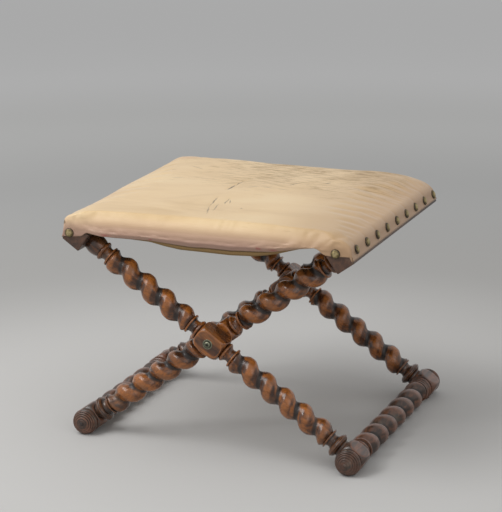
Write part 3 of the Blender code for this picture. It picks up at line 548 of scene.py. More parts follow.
def shaped(tree, mesh, relief, point):
    """The mesh with its points moved, which keeps its relief for the finish."""
    kept = {"Geometry": mesh, "Name": "relief", "Value": relief}
    kept = add(tree, "GeometryNodeStoreNamedAttribute", kept, data_type="FLOAT", domain="POINT")
    return add(tree, "GeometryNodeSetPosition", {"Geometry": kept, "Position": point})


def close_tree(tree, geometry, material):
    """Ends a tree with real meshes, shaded smooth, in their material."""
    real = add(tree, "GeometryNodeRealizeInstances", [geometry])
    smooth = add(tree, "GeometryNodeSetShadeSmooth", [real])
    done = add(tree, "GeometryNodeSetMaterial", {"Geometry": smooth, "Material": material})
    put(tree, tree.nodes.new("NodeGroupOutput").inputs[0], done)
    return tree


def made_by(tree, name, sizes, start_mesh=None):
    """The mesh that a tree makes from its named sizes."""
    guide = linked(name, start_mesh or bpy.data.meshes.new(name))
    modifier = guide.modifiers.new(tree.name, "NODES")
    modifier.node_group = tree
    for item in tree.interface.items_tree:
        if item.in_out == "INPUT" and item.name in sizes:
            modifier[item.identifier] = sizes[item.name]
    made = apply_modifiers(guide)
    bpy.data.objects.remove(guide, do_unlink=True)
    made.name = name
    return made


def rope_twist_tree():
    """A round stock with one strand wound round it, which runs in to a round at both ends."""
    radii = ("Crown Radius", "Valley Radius", "End Radius")
    floats = ("Length", "Lead", *radii, "Phase", "Run In")
    kinds = {"Float": floats, "Int": ("Sides", "Rings"), "Material": ("Finish",)}
    tree, sizes = new_tree("rope_twist", "Turning", kinds)
    length = sizes["Length"]
    crown, valley, end = [sizes[name] for name in radii]
    stock = {"Vertices": sizes["Sides"], "Side Segments": sizes["Rings"], "Radius": 1.0, "Depth": length}
    stock = add(tree, "GeometryNodeMeshCylinder", stock, "Mesh")
    at = add(tree, SEPARATE, [add(tree, "GeometryNodeInputPosition")]).node.outputs
    up = add(tree, "MULTIPLY_ADD", [length, 0.5, at[2]])
    turns = add(tree, "SUBTRACT", [add(tree, "DIVIDE", [up, sizes["Lead"]]), sizes["Phase"]])
    turn = add(tree, "MULTIPLY_ADD", [turns, -math.tau, add(tree, "ARCTAN2", [at[1], at[0]])])
    # The section lies about halfway between 1 - cos^2 and 1 - cos^4 of half the angle from its valley
    fall = add(tree, "MULTIPLY_ADD", [add(tree, "COSINE", [turn]), 0.5, 0.5])
    fall = add(tree, "MULTIPLY", [fall, add(tree, "MULTIPLY_ADD", [fall, 0.55, 0.45])])
    lobe = add(tree, "SUBTRACT", [1.0, fall])
    strand = add(tree, "MULTIPLY_ADD", [add(tree, "SUBTRACT", [crown, valley]), lobe, valley])
    to_end = add(tree, "MINIMUM", [up, add(tree, "SUBTRACT", [length, up])])
    share = add(tree, "MINIMUM", [1.0, add(tree, "DIVIDE", [to_end, sizes["Run In"]])])
    ease = add(tree, "SINE", [add(tree, "MULTIPLY", [share, math.pi / 2])])
    limit = add(tree, "MULTIPLY_ADD", [add(tree, "SUBTRACT", [crown, end]), ease, end])
    radius = add(tree, "SMOOTH_MIN", [strand, limit, 0.0016])
    point = [add(tree, "MULTIPLY", [at[axis], radius]) for axis in (0, 1)]
    relief = add(tree, "MULTIPLY", [lobe, add(tree, "MULTIPLY_ADD", [ease, 0.4, 0.6])])
    return close_tree(tree, shaped(tree, stock, relief, add(tree, COMBINE, [*point, up])), sizes["Finish"])


def nail_row_tree():
    """Domed nail heads, one on each seat, each facing its own way with a small chance lean."""
    floats = ("Head Radius", "Head Height", "Tilt")
    kinds = {"Geometry": ("Seats",), "Float": floats, "Int": ("Seed",), "Material": ("Finish",)}
    tree, sizes = new_tree("nail_row", "Nails", kinds)
    ball = add(tree, "GeometryNodeMeshUVSphere", {"Segments": 28, "Rings": 20, "Radius": 1.0}, "Mesh")
    at = add(tree, SEPARATE, [add(tree, "GeometryNodeInputPosition")]).node.outputs
    # A head is a half ball pressed flatter, with a flat underside
    dome = add(tree, "MAXIMUM", [at[2], 0.0])
    point = [add(tree, "MULTIPLY", [at[axis], sizes["Head Radius"]]) for axis in (0, 1)]
    point.append(add(tree, "MULTIPLY", [dome, sizes["Head Height"]]))
    head = shaped(tree, ball, dome, add(tree, COMBINE, point))
    facing = add(tree, "GeometryNodeInputNamedAttribute", {"Name": "facing"}, data_type="FLOAT_VECTOR")
    turn = add(tree, "FunctionNodeAlignRotationToVector", {"Vector": facing}, axis="Z")
    # It leans by up to the tilt both ways, and is turned by up to about a full turn
    tilt = sizes["Tilt"]
    other_way = add(tree, "MULTIPLY", [tilt, -1.0])
    low = add(tree, COMBINE, [other_way, other_way])
    chance = {"Min": low, "Max": add(tree, COMBINE, [tilt, tilt, 6.28]), "Seed": sizes["Seed"]}
    lean = add(tree, "FunctionNodeRandomValue", chance, data_type="FLOAT_VECTOR")
    lean = add(tree, "FunctionNodeEulerToRotation", [lean])
    turn = add(tree, "FunctionNodeRotateRotation", [turn, lean], rotation_space="LOCAL")
    rows = {"Points": sizes["Seats"], "Instance": head, "Rotation": turn}
    return close_tree(tree, add(tree, "GeometryNodeInstanceOnPoints", rows), sizes["Finish"])


ROPE = rope_twist_tree()
NAIL_ROW = nail_row_tree()


# Legs and floor rails


def rope(z_from, z_to, lead, phase, material):
    crown, valley = TWIST_RADII
    sizes = {
        "Length": z_to - z_from,
        "Lead": lead,
        "Crown Radius": crown,
        "Valley Radius": valley,
        "Phase": phase,
        "Run In": 0.01,
        "End Radius": 0.0165,
        "Sides": SIDES,
        "Rings": int((z_to - z_from) / RING_SPACING),
        "Finish": material,
    }
    mesh = made_by(ROPE, "rope", sizes)
    mesh.transform(Matrix.Translation((0, 0, z_from)))
    return mesh


def joined(meshes, name, material, matrix, seed):
    """One mesh in its place. Its grain keeps the lathe's own axes, shifted by a seed."""
    bm = bmesh.new()
    for mesh in meshes:
        mesh.materials.clear()
        bm.from_mesh(mesh)
        bpy.data.meshes.remove(mesh)
    made = bpy.data.meshes.new(name)
    bm.to_mesh(made)
    bm.free()
    local = coordinates(made)
    set_attribute(made, "grain", "FLOAT_VECTOR", local + np.array([0.37, 0.11, 0.53]) * (seed + 1))
    # Both ends of a turned length are darker, from 240 mm out from its origin
    set_attribute(made, "end_darkening", "FLOAT", np.clip((np.abs(local[:, 2]) - 0.24) / 0.045, 0, 1))
    made.transform(matrix)
    made.materials.append(material)
    return linked(name, made)


def leg_meshes(lower_phase, upper_phase):
    """The lengths of a leg along +Z, its pivot at the origin and its foot downwards."""
    foot = FOOT_BLOCK_HALF - LOWER_REACH
    head = UPPER_REACH - SEAT_RAIL_HALF
    parts = [squared(-BLOCK_HALF_LENGTH, BLOCK_HALF_LENGTH, *BLOCK_HALF, *LEG_POMMELS)]
    for way in (1, -1):
        ring_end = way * (BLOCK_HALF_LENGTH + RING)
        cove_end = ring_end + way * BLOCK_COVE
        profile = half_round(way * BLOCK_HALF_LENGTH, ring_end, *BEAD_RADII)
        profile += hollow(ring_end, cove_end, 0.015, 0.0138, COVE_WAIST)
        profile += fillet(cove_end, cove_end + way * FLANGE, FLANGE_RADIUS)
        parts.append(turned(profile))
    torus = foot + FOOT_COLLAR
    cove = torus + FOOT_TORUS
    flange = cove + LONG_COVE
    twist_start = flange + FLANGE
    profile = [(foot, 0.0158), (foot + 0.0006, 0.0163), (torus - 0.0006, 0.0163), (torus, 0.0158)]
    profile += half_round(torus, cove, 0.0175, 0.0236, 40, grooves=(0.3, 0.68))
    profile += hollow(cove, flange, 0.015, 0.0132, COVE_WAIST)
    profile += fillet(flange, twist_start, FLANGE_RADIUS)
    parts.append(turned(profile))
    barrel = head - HEAD_BARREL
    ring = barrel - RING
    flange = ring - LONG_COVE
    twist_end = flange - FLANGE
    profile = fillet(twist_end, flange, FLANGE_RADIUS)
    profile += hollow(flange, ring, 0.0132, 0.015, COVE_WAIST)
    profile += half_round(ring, barrel, *BEAD_RADII)
    profile += half_round(barrel, head - TENON_COLLAR, 0.0158, 0.019, 20)
    profile += [(head - TENON_COLLAR, 0.0146), (head, 0.0146)]
    parts.append(turned(profile))
    beside_block = BLOCK_HALF_LENGTH + RING + BLOCK_COVE + FLANGE
    parts.append(rope(twist_start, -beside_block, LOWER_LEAD, lower_phase, WALNUT))
    parts.append(rope(beside_block, twist_end, UPPER_LEAD, upper_phase, WALNUT))
    return parts


def bun(z, way):
    """A beehive bun: one broad bead, then ridges that step in to a nib."""
    steps = (
        (0.0000, 0.0015, 0.019, 0.0192),
        (0.0015, 0.005, 0.0206, 0.0224),
        (0.005, 0.0118, 0.0226, 0.0242),
        (0.0118, 0.0156, 0.0212, 0.0222),
        (0.0156, 0.0187, 0.0188, 0.0196),
        (0.0187, 0.0209, 0.0156, 0.0163),
        (0.0209, 0.0227, 0.0118, 0.0126),
        (0.0227, 0.024, 0.007, 0.008),
        (0.024, 0.0264, 0.0016, 0.0034),
    )
    profile = []
    for start, end, edge, crown in steps:
        profile += half_round(z + way * start, z + way * end, edge, crown, 10)
    return turned(profile)


def floor_rail_meshes(offset, lead):
    """The lengths of a floor rail along +Z, with a squared block for each leg and a bun at each end."""
    half = FOOT_BLOCK_HALF_LENGTH
    parts = []
    for end in (-1, 1):
        middle = end * offset
        parts.append(squared(middle - half, middle + half, FOOT_BLOCK_HALF, FOOT_BLOCK_HALF, *FOOT_POMMELS))
        parts.append(bun(middle + end * half, end))
        start = middle - end * half
        between = start - end * RAIL_RINGS / 2
        ring_end = start - end * RAIL_RINGS
        bead_end = ring_end - end * RAIL_BEAD
        cove_end = bead_end - end * RAIL_COVE
        profile = half_round(start, between, 0.0185, 0.0214)
        profile += half_round(between, ring_end, 0.019, 0.0226)
        profile += half_round(ring_end, bead_end, 0.018, 0.0205)
        profile += hollow(bead_end, cove_end, 0.0168, 0.0165, 0.0152)
        profile += fillet(cove_end, cove_end - end * FLANGE, 0.0215)
        parts.append(turned(profile))
    reach = offset - half - RAIL_RINGS - RAIL_BEAD - RAIL_COVE - FLANGE
    # The twist makes a whole number of eighths of a turn
    turns = round(2 * reach / lead * 8) / 8
    parts.append(rope(-reach, reach, 2 * reach / turns, 0.0, FOOT_WALNUT))
    return parts


def flat_foot(rail):
    """The floor has worn the underside of the rail flat."""
    co = coordinates(rail.data)
    co[:, 2] = np.maximum(co[:, 2], 0.0)
    put_coordinates(rail.data, co)


# Where each leg's strand starts, below and above its block, as shares of a turn
LEG_PHASES = {
    "outer_front": (0.91, 0.875),
    "outer_back": (0.21, 0.875),
    "inner_front": (0.77, 0.3),
    "inner_back": (0.91, 0.875),
}

seed = 0
for side, tilt, leg_y in (("outer", -1, OUTER_LEG_Y), ("inner", 1, INNER_LEG_Y)):
    stance = Matrix.Translation((0, 0, PIVOT_HEIGHT)) @ Matrix.Rotation(tilt * (math.pi / 2 - SLOPE), 4, "Y")
    for end, where in ((-1, "front"), (1, "back")):
        node = f"{side}_{where}_leg"
        seat = stance @ Matrix.Translation((0, end * leg_y, 0))
        leg = joined(leg_meshes(*LEG_PHASES[f"{side}_{where}"]), "turned_" + node, WALNUT, seat, seed)
        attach(leg, side + "_frame")
        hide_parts(node)
        seed += 1
    node = side + "_floor_rail"
    lie = stance @ Matrix.Translation((0, 0, -LOWER_REACH)) @ Matrix.Rotation(-math.pi / 2, 4, "X")
    rail = joined(floor_rail_meshes(leg_y, RAIL_LEADS[side]), "turned_" + node, FOOT_WALNUT, lie, seed)
    flat_foot(rail)
    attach(rail, side + "_frame")
    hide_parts(node)
    seed += 1
    in_one_material(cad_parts[side + "_seat_rail"].data, RAIL_WALNUT)


# Nails


def beside_rail(outward, upward):
    """A point in (x, z) measured from the right seat rail's axis, square to its faces."""
    x = UPPER_REACH * math.cos(SLOPE) + outward * math.cos(SLOPE) - upward * math.sin(SLOPE)
    z = PIVOT_HEIGHT + UPPER_REACH * math.sin(SLOPE) + outward * math.sin(SLOPE) + upward * math.cos(SLOPE)
    return x, z


def nail_height(side, y):
    """The right row runs up to the front, where the stuffing has lifted the strip."""
    return NAIL_HEIGHT + NAIL_RISE[side] * (NAIL_YS[-1] - y) / NAIL_RUN


def nail_rows(side):
    """The nails of one seat rail. Each seat is a point with the way that its nail faces."""
    right = 1 if side == "inner" else -1
    seats = [(right * NAIL_OUT[side], y, nail_height(side, y)) for y in NAIL_YS]
    ways = [(right * math.cos(NAIL_LEAN), 0, math.sin(NAIL_LEAN))] * len(NAIL_YS)
    end_x, end_z = beside_rail(0.0128, 0) if side == "outer" else beside_rail(0, 0.013)
    for end in (-1, 1):
        seats.append((right * end_x, end * (END_Y + CLOTH_GAP), end_z))
        ways.append((0, end, 0))
    guide = bpy.data.meshes.new("nail_seats")
    guide.from_pydata(seats, [], [])
    set_attribute(guide, "facing", "FLOAT_VECTOR", ways)
    sizes = {"Head Radius": 0.0085, "Head Height": 0.0042, "Tilt": 0.07, "Seed": 5, "Finish": BRONZE}
    nails = linked("nails_" + side, made_by(NAIL_ROW, "nails_" + side, sizes, guide))
    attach(nails, side + "_frame")
    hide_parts(*[f"{side}_nail_{number:02d}" for number in range(1, 12)])


nail_rows("outer")
nail_rows("inner")


# Pivots


def washer_profile(z, way, radius, bore, thickness):
    return [
        (z, bore),
        (z, radius - 0.0003),
        (z + way * 0.0003, radius),
        (z + way * (thickness - 0.0003), radius),
        (z + way * thickness, radius - 0.0003),
        (z + way * thickness, bore),
    ]


def pivot_meshes():
    """A rivet with its two washers, along the axis outwards from between the blocks."""
    parts = []
    seat, washer, neck, ease = 0.0487, 0.001, 0.0056, 0.0004
    for way, dome in ((1, 0.0032), (-1, 0.0022)):
        start = way * (seat + washer)
        head = [(start, neck - ease), (start + way * ease, neck)]
        for degrees in range(10, 91, 10):
            a = math.radians(degrees)
            head.append((start + way * (ease + dome * math.sin(a)), max(0.00005, neck * math.cos(a))))
        for profile in (washer_profile(way * seat, way, 0.009, 0.004, washer), head):
            parts.append(turned(profile))
    return parts


for end, where in ((-1, "front"), (1, "back")):
    middle = (OUTER_LEG_Y + INNER_LEG_Y) / 2
    seat = Matrix.Translation((0, end * middle, PIVOT_HEIGHT)) @ Matrix.Rotation(-end * math.pi / 2, 4, "X")
    pivot = joined(pivot_meshes(), where + "_pivot", IRON, seat, 9)
    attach(pivot, "outer_frame")
    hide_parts(where + "_pivot_rivet", where + "_outer_washer", where + "_inner_washer")
    in_one_material(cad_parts[where + "_middle_washer"].data, IRON)


# Seat cover


# Half sections of the stuffed seat as (out, height), from the middle of its top to the strip's lower edge
LEFT_SIDE = (
    (0.0, 0.44), (0.06, 0.44), (0.12, 0.4399), (0.18, 0.4396), (0.22, 0.4388),
    (0.245, 0.4374), (0.26, 0.435), (0.2695, 0.4308), (0.275, 0.425), (0.2768, 0.4185),
    (0.276, 0.4125), (0.2757, 0.4075), (0.2762, 0.401), (0.2786, 0.394),
)
RIGHT_SIDE = (
    (0.0, 0.44), (0.06, 0.4399), (0.12, 0.4396), (0.175, 0.4388), (0.212, 0.4368),
    (0.236, 0.4336), (0.252, 0.4292), (0.263, 0.4238), (0.27, 0.418), (0.2728, 0.413),
    (0.2732, 0.409), (0.2738, 0.405), (0.2752, 0.4005), (0.2786, 0.394),
)
# The front hem of the silk, from left to right: (across, height)
FRONT_HEM = (
    (-0.2774, 0.395), (-0.256, 0.3952), (-0.238, 0.3972), (-0.2325, 0.403), (-0.228, 0.4046),
    (-0.202, 0.3998), (-0.178, 0.3984), (-0.143, 0.3986), (-0.104, 0.399), (-0.065, 0.3958),
    (-0.027, 0.3934), (0.002, 0.3942), (0.049, 0.3934), (0.096, 0.3956), (0.124, 0.3974),
    (0.143, 0.4004), (0.18, 0.4078), (0.206, 0.4122), (0.213, 0.41), (0.219, 0.404),
    (0.225, 0.4006), (0.246, 0.3998), (0.2766, 0.4012),
)
COLUMNS = 111
ROLL_DEGREES = (0, 12, 24, 36, 48, 60, 75, 90)
TOP_ROWS = 70
WALL_ROWS = 11
# The nailed strip lies below this height, and rolls over the rail's end by only its own thickness
STRIP_TOP = 0.416
STRIP_ROLL = 0.0024
BACK_ROLL = 0.011
SIDE_FROM = 0.24
HEM_REACH = 0.2768


def eased(share):
    return share * share * (3 - 2 * share)


def rolled_in(x):
    """How far the end rolls over: less at the corners than in the middle."""
    return 0.0085 + 0.0135 * eased(np.clip((0.262 - np.abs(x)) / 0.055, 0, 1))


def run_along(points):
    """The length along a line of points, up to each of them."""
    return np.concatenate([[0], np.cumsum(np.linalg.norm(np.diff(points, axis=0), axis=1))])


def along_curve(points, shares):
    """Points at shares of the length of a smooth curve through the given ones."""
    points = np.array(points, float)
    fine = []
    for k in range(len(points) - 1):
        before = points[max(k - 1, 0)]
        after = points[min(k + 2, len(points) - 1)]
        t = np.linspace(0, 1, 24, endpoint=False)[:, None]
        a, b = points[k], points[k + 1]
        second = 2 * before - 5 * a + 4 * b - after
        third = 3 * (a - b) + after - before
        fine.append(a + 0.5 * t * ((b - before) + t * (second + t * third)))
    fine = np.vstack(fine + [points[-1:]])
    run = run_along(fine)
    at = np.asarray(shares) * run[-1]
    return np.stack([np.interp(at, run, fine[:, 0]), np.interp(at, run, fine[:, 1])], -1)


def section(y):
    """The whole section at a row, from the left strip's edge to the right one's, as (x, z)."""
    back = np.clip((y + 0.16) / 0.4, 0, 1)
    shares = np.linspace(0, 1, COLUMNS // 2 + 1) ** 0.82
    left = along_curve(LEFT_SIDE, shares)[::-1] * np.array([-1, 1])
    right = along_curve(RIGHT_SIDE, shares)
    points = np.vstack([left, right[1:]])
    x, z = points.T
    high = np.clip((z - 0.402) / 0.03, 0, 1)
    # The old stuffing has gone down at the back right and stands highest at the back left
    z = z + back * high * (0.0014 - 0.012 * x)
    z = z + 0.0014 * np.exp(-(((x + 0.05) / 0.16) ** 2)) * np.cos(math.pi * y / 0.54) * high
    return np.stack([x, z], -1)


def hem_height(x, end):
    line = np.array(FRONT_HEM)
    if end == 1:
        line = line[::-1] * np.array([-1, 1])
    return np.interp(x, line[:, 0], line[:, 1])


def turned_over(points, end):
    """The rings that roll the section's points over the front or the back end of the seat."""
    x, z = points.T
    step = np.gradient(points, axis=0)
    step /= np.linalg.norm(step, axis=1)[:, None]
    outward = np.stack([-step[:, 1], step[:, 0]], -1)
    strip = np.clip((STRIP_TOP - z) / 0.01, 0, 1)
    radius = rolled_in(x) * (1 - strip) + STRIP_ROLL * strip
    if end == 1:
        radius = np.minimum(radius, BACK_ROLL)
    rings = []
    for degrees in ROLL_DEGREES:
        a = math.radians(degrees)
        flat = points - outward * (radius * (1 - math.cos(a)))[:, None]
        y = end * (END_Y - radius * (1 - math.sin(a)))
        rings.append(np.stack([flat[:, 0], y, flat[:, 1]], -1))
    return rings


def hung_down(last, points, end):
    """The rows from the last ring down to the hem. The corners' points spread out along it."""
    hem_x = last[:, 0].copy()
    run = run_along(points)
    for sign in (-1, 1):
        these = (np.abs(points[:, 0]) > SIDE_FROM) & (np.sign(points[:, 0]) == sign)
        if sign == 1:
            share = (run[these] - run[these].min()) / (run[-1] - run[these].min())
        else:
            share = 1 - run[these] / run[these].max()
        first = np.abs(last[these][0 if sign == 1 else -1, 0])
        hem_x[these] = sign * (first + (HEM_REACH - first) * share**0.8)
    hem_z = hem_height(hem_x, end)
    middle = eased(np.clip((0.205 - np.abs(hem_x)) / 0.04, 0, 1))
    walls = []
    for k in range(1, WALL_ROWS + 1):
        share = k / WALL_ROWS
        belly = 0.0022 * math.sin(math.pi * min(1.0, share * 1.15)) - 0.0045 * share**2.2
        x = last[:, 0] + (hem_x - last[:, 0]) * share
        z = last[:, 2] + (hem_z - last[:, 2]) * share
        walls.append(np.stack([x, end * (END_Y + belly * middle), z], -1))
    return walls


def cover_rows():
    """The cover's points: rows from the front hem over the seat to the back one, columns from the left."""
    ends = []
    for end in (-1, 1):
        points = section(end * (END_Y - 0.022))
        rings = turned_over(points, end)
        ends.append((rings, hung_down(rings[-1], points, end)))
    (front_rings, front_walls), (back_rings, back_walls) = ends
    made = front_walls[::-1] + front_rings[::-1]
    edge = front_rings[0]
    far = back_rings[0]
    for share in np.linspace(0, 1, TOP_ROWS)[1:-1]:
        y = edge[:, 1] + (far[:, 1] - edge[:, 1]) * share
        x, z = section(edge[0, 1] * (1 - share) + far[0, 1] * share).T
        made.append(np.stack([x, y, z], -1))
    return np.array(made + back_rings + back_walls)


def lengths_on(points):
    """Arc lengths along and across the cloth, measured from the middle of the seat."""
    across = np.zeros(points.shape[:2])
    across[:, 1:] = np.cumsum(np.linalg.norm(np.diff(points, axis=1), axis=2), axis=1)
    across -= across[:, points.shape[1] // 2][:, None]
    along = np.zeros(points.shape[:2])
    along[1:] = np.cumsum(np.linalg.norm(np.diff(points, axis=0), axis=2), axis=0)
    along -= along[points.shape[0] // 2][None, :]
    return across, along


def simulate_cover(obj, held, most):
    """The stuffing swells the cloth between its hems. held marks the points that nails and hems keep."""
    before = coordinates(obj.data)
    group = obj.vertex_groups.new(name="held")
    for number in np.nonzero(held)[0]:
        group.add([int(number)], float(held[number]), "REPLACE")
    cloth = obj.modifiers.new("Cloth", "CLOTH")
    settings = cloth.settings
    settings.vertex_group_mass = "held"
    settings.quality = 6
    settings.use_pressure = True
    settings.uniform_pressure_force = 4
    settings.effector_weights.gravity = 0
    settings.shrink_min = -0.012
    settings.tension_stiffness = 40
    settings.compression_stiffness = 12
    settings.shear_stiffness = 8
    settings.bending_stiffness = 0.4
    cloth.collision_settings.use_collision = False
    scene = bpy.context.scene
    scene.frame_start = 1
    scene.frame_end = 20
    cloth.point_cache.frame_start = 1
    cloth.point_cache.frame_end = 20
    for number in range(1, 21):
        scene.frame_set(number)
    graph = bpy.context.evaluated_depsgraph_get()
    after = coordinates(obj.evaluated_get(graph).to_mesh())
    obj.modifiers.remove(cloth)
    obj.vertex_groups.clear()
    scene.frame_set(1)
    move = after - before
    size = np.linalg.norm(move, axis=1)
    share = np.minimum(1.0, most / np.maximum(size, 1e-9))
    put_coordinates(obj.data, before + move * share[:, None])


def near_line(points, start, end, width):
    """1 on a line between two points in plan, falling off over its width."""
    start, end = np.array(start), np.array(end)
    way = end - start
    t = np.clip(((points[:, :2] - start) @ way) / (way @ way), 0, 1)
    gap = np.linalg.norm(points[:, :2] - (start + t[:, None] * way), axis=1)
    return np.exp(-((gap / width) ** 2))


# Old creases in the silk's top: from, to, width and depth
CREASES = (
    ((-0.0515, -0.01), (-0.051, 0.031), 0.0032, 0.0013),
    ((-0.051, 0.031), (-0.049, 0.064), 0.003, 0.001),
    ((-0.0147, -0.207), (-0.036, -0.14), 0.003, 0.0007),
    ((-0.036, -0.14), (-0.046, -0.075), 0.003, 0.001),
    ((-0.016, -0.12), (-0.022, -0.075), 0.0028, 0.0008),
    ((0.024, -0.262), (0.023, -0.222), 0.003, -0.0008),
    ((0.039, -0.262), (0.04, -0.232), 0.0028, -0.0007),
    ((0.047, -0.262), (0.049, -0.228), 0.0028, -0.0008),
)


def press_in(co, normals):
    """Dents the cloth at its creases and nails, and lets the stuffing's lumps show."""
    x, y, z = co.T
    on_top = np.clip((normals[:, 2] - 0.3) / 0.4, 0, 1)
    drop = np.zeros(len(co))
    for start, end, width, deep in CREASES:
        drop += near_line(co, start, end, width) * deep * on_top
    # Fixed waves stand for the lumps of the stuffing
    lumps = np.sin(x * 23 + 1.1) * np.sin(y * 19 + 0.6) + 0.6 * np.sin(x * 47 - y * 31 + 2.0)
    drop -= 0.0005 * lumps * on_top
    # Each nail has a dent, and a pleat that runs up from it
    above = np.clip((z - 0.409) / 0.006, 0, 1) * np.clip((0.432 - z) / 0.014, 0, 1)
    for right, rail in ((-1, "outer"), (1, "inner")):
        outside = x * right > 0.25
        for nail_y in NAIL_YS:
            gap = np.hypot(y - nail_y, (z - nail_height(rail, nail_y)) * 0.8)
            drop += 0.0007 * np.exp(-((gap / 0.011) ** 2)) * outside
            drop += 0.0006 * np.exp(-(((y - nail_y) / 0.0045) ** 2)) * above * outside
    # Shallow folds hang down the front
    wall = np.clip((-y - 0.2535) / 0.004, 0, 1)
    folds = np.sin(x * 96 + 0.7) + 0.7 * np.sin(x * 171 + 2.1)
    drop += 0.00035 * folds * wall * np.clip((0.425 - z) / 0.02, 0, 1)
    return co - normals * drop[:, None]


def make_cover():
    points = cover_rows()
    across, along = lengths_on(points)
    mesh = grid_mesh(points, "silk_cover")
    cover = linked("silk_cover", mesh)
    set_attribute(mesh, "cloth", "FLOAT_VECTOR", np.stack([across, along, np.zeros_like(across)], -1))
    # The cloth's edges are marked so that the finish paints them darker, partly as shade where they turn
    # under
    hem = np.zeros(points.shape[:2])
    hem[0] = hem[-1] = 1
    hem[:, 0] = hem[:, -1] = 1
    set_attribute(mesh, "hem", "FLOAT", hem)
    held = np.zeros(points.shape[:2])
    held[:5] = held[-5:] = 1
    held[:, :9] = held[:, -9:] = 1
    simulate_cover(cover, held.ravel(), SWELL)
    finer = cover.modifiers.new("Finer", "SUBSURF")
    finer.levels = 1
    finer.render_levels = 1
    fine = apply_modifiers(cover)
    co = press_in(coordinates(fine), coordinates(fine, "normal"))
    put_coordinates(fine, co)
    set_attribute(fine, "rest", "FLOAT_VECTOR", co)
    thick = cover.modifiers.new("Thickness", "SOLIDIFY")
    thick.thickness = CLOTH
    thick.offset = -1
    solid = apply_modifiers(cover)
    in_one_material(solid, SILK)
    solid.shade_smooth()
    return cover


cover = make_cover()
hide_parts("seat_cover", "seat_stuffing")
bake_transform(cover)


# Linen sling under the seat


# The sling's front edge, which hangs below the silk's hem in the middle: (across, height)
SLING_FRONT = (
    (-0.2257, 0.402), (-0.2018, 0.4006), (-0.178, 0.3994), (-0.143, 0.399), (-0.106, 0.3974),
    (-0.077, 0.3917), (-0.048, 0.3878), (-0.01, 0.3872), (0.047, 0.3858), (0.094, 0.3878),
    (0.119, 0.3921), (0.137, 0.3962), (0.16, 0.403), (0.18, 0.4086), (0.206, 0.4122),
    (0.2257, 0.41),
)


def make_sling():
    """The sling, with its width as its own section gives it when unrolled."""
    edge_x, edge_z = beside_rail(-SEAT_RAIL_HALF, SEAT_RAIL_HALF + CLOTH_GAP)
    seat_x, seat_z = beside_rail(-SEAT_RAIL_HALF + 0.014, SEAT_RAIL_HALF + CLOTH_GAP)
    across = np.linspace(-edge_x, edge_x, 71)
    sag = edge_z - SLING_SAG * (1 - (across / edge_x) ** 2)
    front = np.interp(across, *np.array(SLING_FRONT).T)
    left = [(-seat_x, seat_z), (-(seat_x + edge_x) / 2, (seat_z + edge_z) / 2)]
    right = [(-x, z) for x, z in left[::-1]]
    points = []
    for y in np.linspace(-SLING_Y, SLING_Y, 60):
        edge = front if y < 0 else front[::-1]
        middle = sag + (edge - sag) * eased(np.clip((abs(y) - 0.125) / 0.1267, 0, 1))
        points.append([(x, y, z) for x, z in left + list(zip(across, middle)) + right])
    # Both ends turn up behind the silk's hems
    points.insert(0, [(x, y + 0.0006, z + 0.007) for x, y, z in points[0]])
    points.append([(x, y - 0.0006, z + 0.007) for x, y, z in points[-1]])
    points = np.array(points)
    mesh = grid_mesh(points, "linen_sling")
    sling = linked("linen_sling", mesh)
    thick = sling.modifiers.new("Thickness", "SOLIDIFY")
    thick.thickness = CLOTH
    thick.offset = 1 if mesh.polygons[0].normal.z > 0 else -1
    in_one_material(apply_modifiers(sling), LINEN)
    return sling, float(run_along(points[1][:, (0, 2)])[-1])


sling, sling_width = make_sling()
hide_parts("seat_sling")
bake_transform(sling)


# Studio


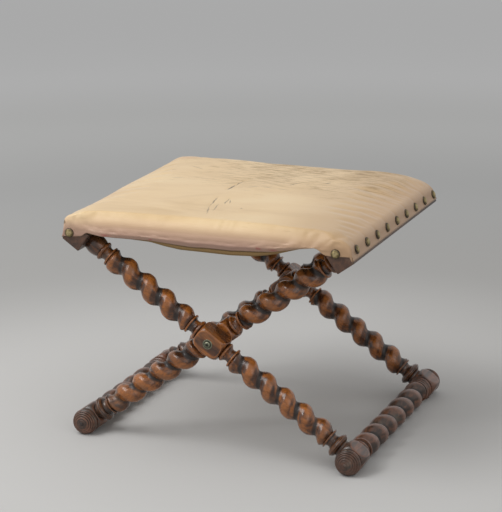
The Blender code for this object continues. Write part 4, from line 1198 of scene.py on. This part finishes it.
def studio_floor():
    """A wide paper floor, which fills the view behind the stool too."""
    reach = 18.0
    corners = [[(x, y, 0.0) for x in (-reach, reach)] for y in (-reach, reach)]
    mesh = grid_mesh(np.array(corners), "paper_floor")
    floor = linked("paper_floor", mesh)
    made, tree, shader = new_material("grey paper")
    # Painted light: the lamps stand near the stool, so the paper's colour is painted paler far from them
    place = add(tree, "ShaderNodeTexCoord", out="Object")
    away = add(tree, "ShaderNodeVectorMath", [place], "Value", operation="LENGTH")
    tones = [(0.07, "BAB9B7"), (0.15, "A5A4A2"), (0.25, "A9A9A8"), (0.38, "B9B9B8")]
    tones += [(0.5, "C4C4C4"), (1.0, "CCCCCC")]
    shade = add(tree, RAMP, [add(tree, "MULTIPLY", [away, 1 / 8])], stops=tones, curve="EASE")
    for name, value in (("Base Color", shade), ("Roughness", 1.0), ("Specular IOR Level", 0.0)):
        put(tree, shader.inputs[name], value)
    mesh.materials.append(made)


def soft_box(name, place, size, power):
    """A square lamp that faces the stool."""
    data = bpy.data.lights.new(name, "AREA")
    data.size = size
    data.energy = power
    lamp = linked(name, data)
    lamp.location = place
    lamp.rotation_euler = (Vector((0, 0, 0.25)) - Vector(place)).to_track_quat("-Z", "Y").to_euler()


studio_floor()
soft_box("key", (-1.7, -1.0, 2.9), 2.1, 58)
soft_box("glint", (-1.3, -1.9, 2.0), 0.4, 9)
soft_box("fill", (2.6, -2.2, 1.6), 2.4, 14)
world = bpy.data.worlds.new("studio air")
world.use_nodes = True
world.node_tree.nodes["Background"].inputs[0].default_value = (1, 1, 1, 1)
world.node_tree.nodes["Background"].inputs[1].default_value = 0.66
bpy.context.scene.world = world
bpy.context.scene.view_settings.view_transform = "Standard"


# Camera, matched to the photograph's view

# The photograph's frame, its focal length and its optical centre, in pixels
PHOTO = (502, 512)
FOCAL = 2140.9
CENTRE = (264.7, 291.6)
TARGET = Vector((0.0172, 0, 0.2498))
DISTANCE = 4.0526


def photo_camera():
    azimuth, elevation, roll = math.radians(20.5), math.radians(15.4), math.radians(-0.3)
    level = Vector((math.sin(azimuth), -math.cos(azimuth), 0))
    back = level * math.cos(elevation) + Vector((0, 0, math.sin(elevation)))
    right = Vector((math.cos(azimuth), math.sin(azimuth), 0))
    up = back.cross(right)
    data = bpy.data.cameras.new("view")
    data.sensor_fit = "VERTICAL"
    data.sensor_height = 36
    data.lens = FOCAL * data.sensor_height / PHOTO[1]
    data.shift_x = (PHOTO[0] / 2 - CENTRE[0]) / PHOTO[1]
    data.shift_y = (CENTRE[1] - PHOTO[1] / 2) / PHOTO[1]
    camera = linked("view", data)
    across = right * math.cos(roll) + up * math.sin(roll)
    upwards = up * math.cos(roll) - right * math.sin(roll)
    matrix = Matrix((across, upwards, back)).transposed().to_4x4()
    matrix.translation = TARGET + back * DISTANCE
    camera.matrix_world = matrix
    bpy.context.scene.camera = camera


photo_camera()
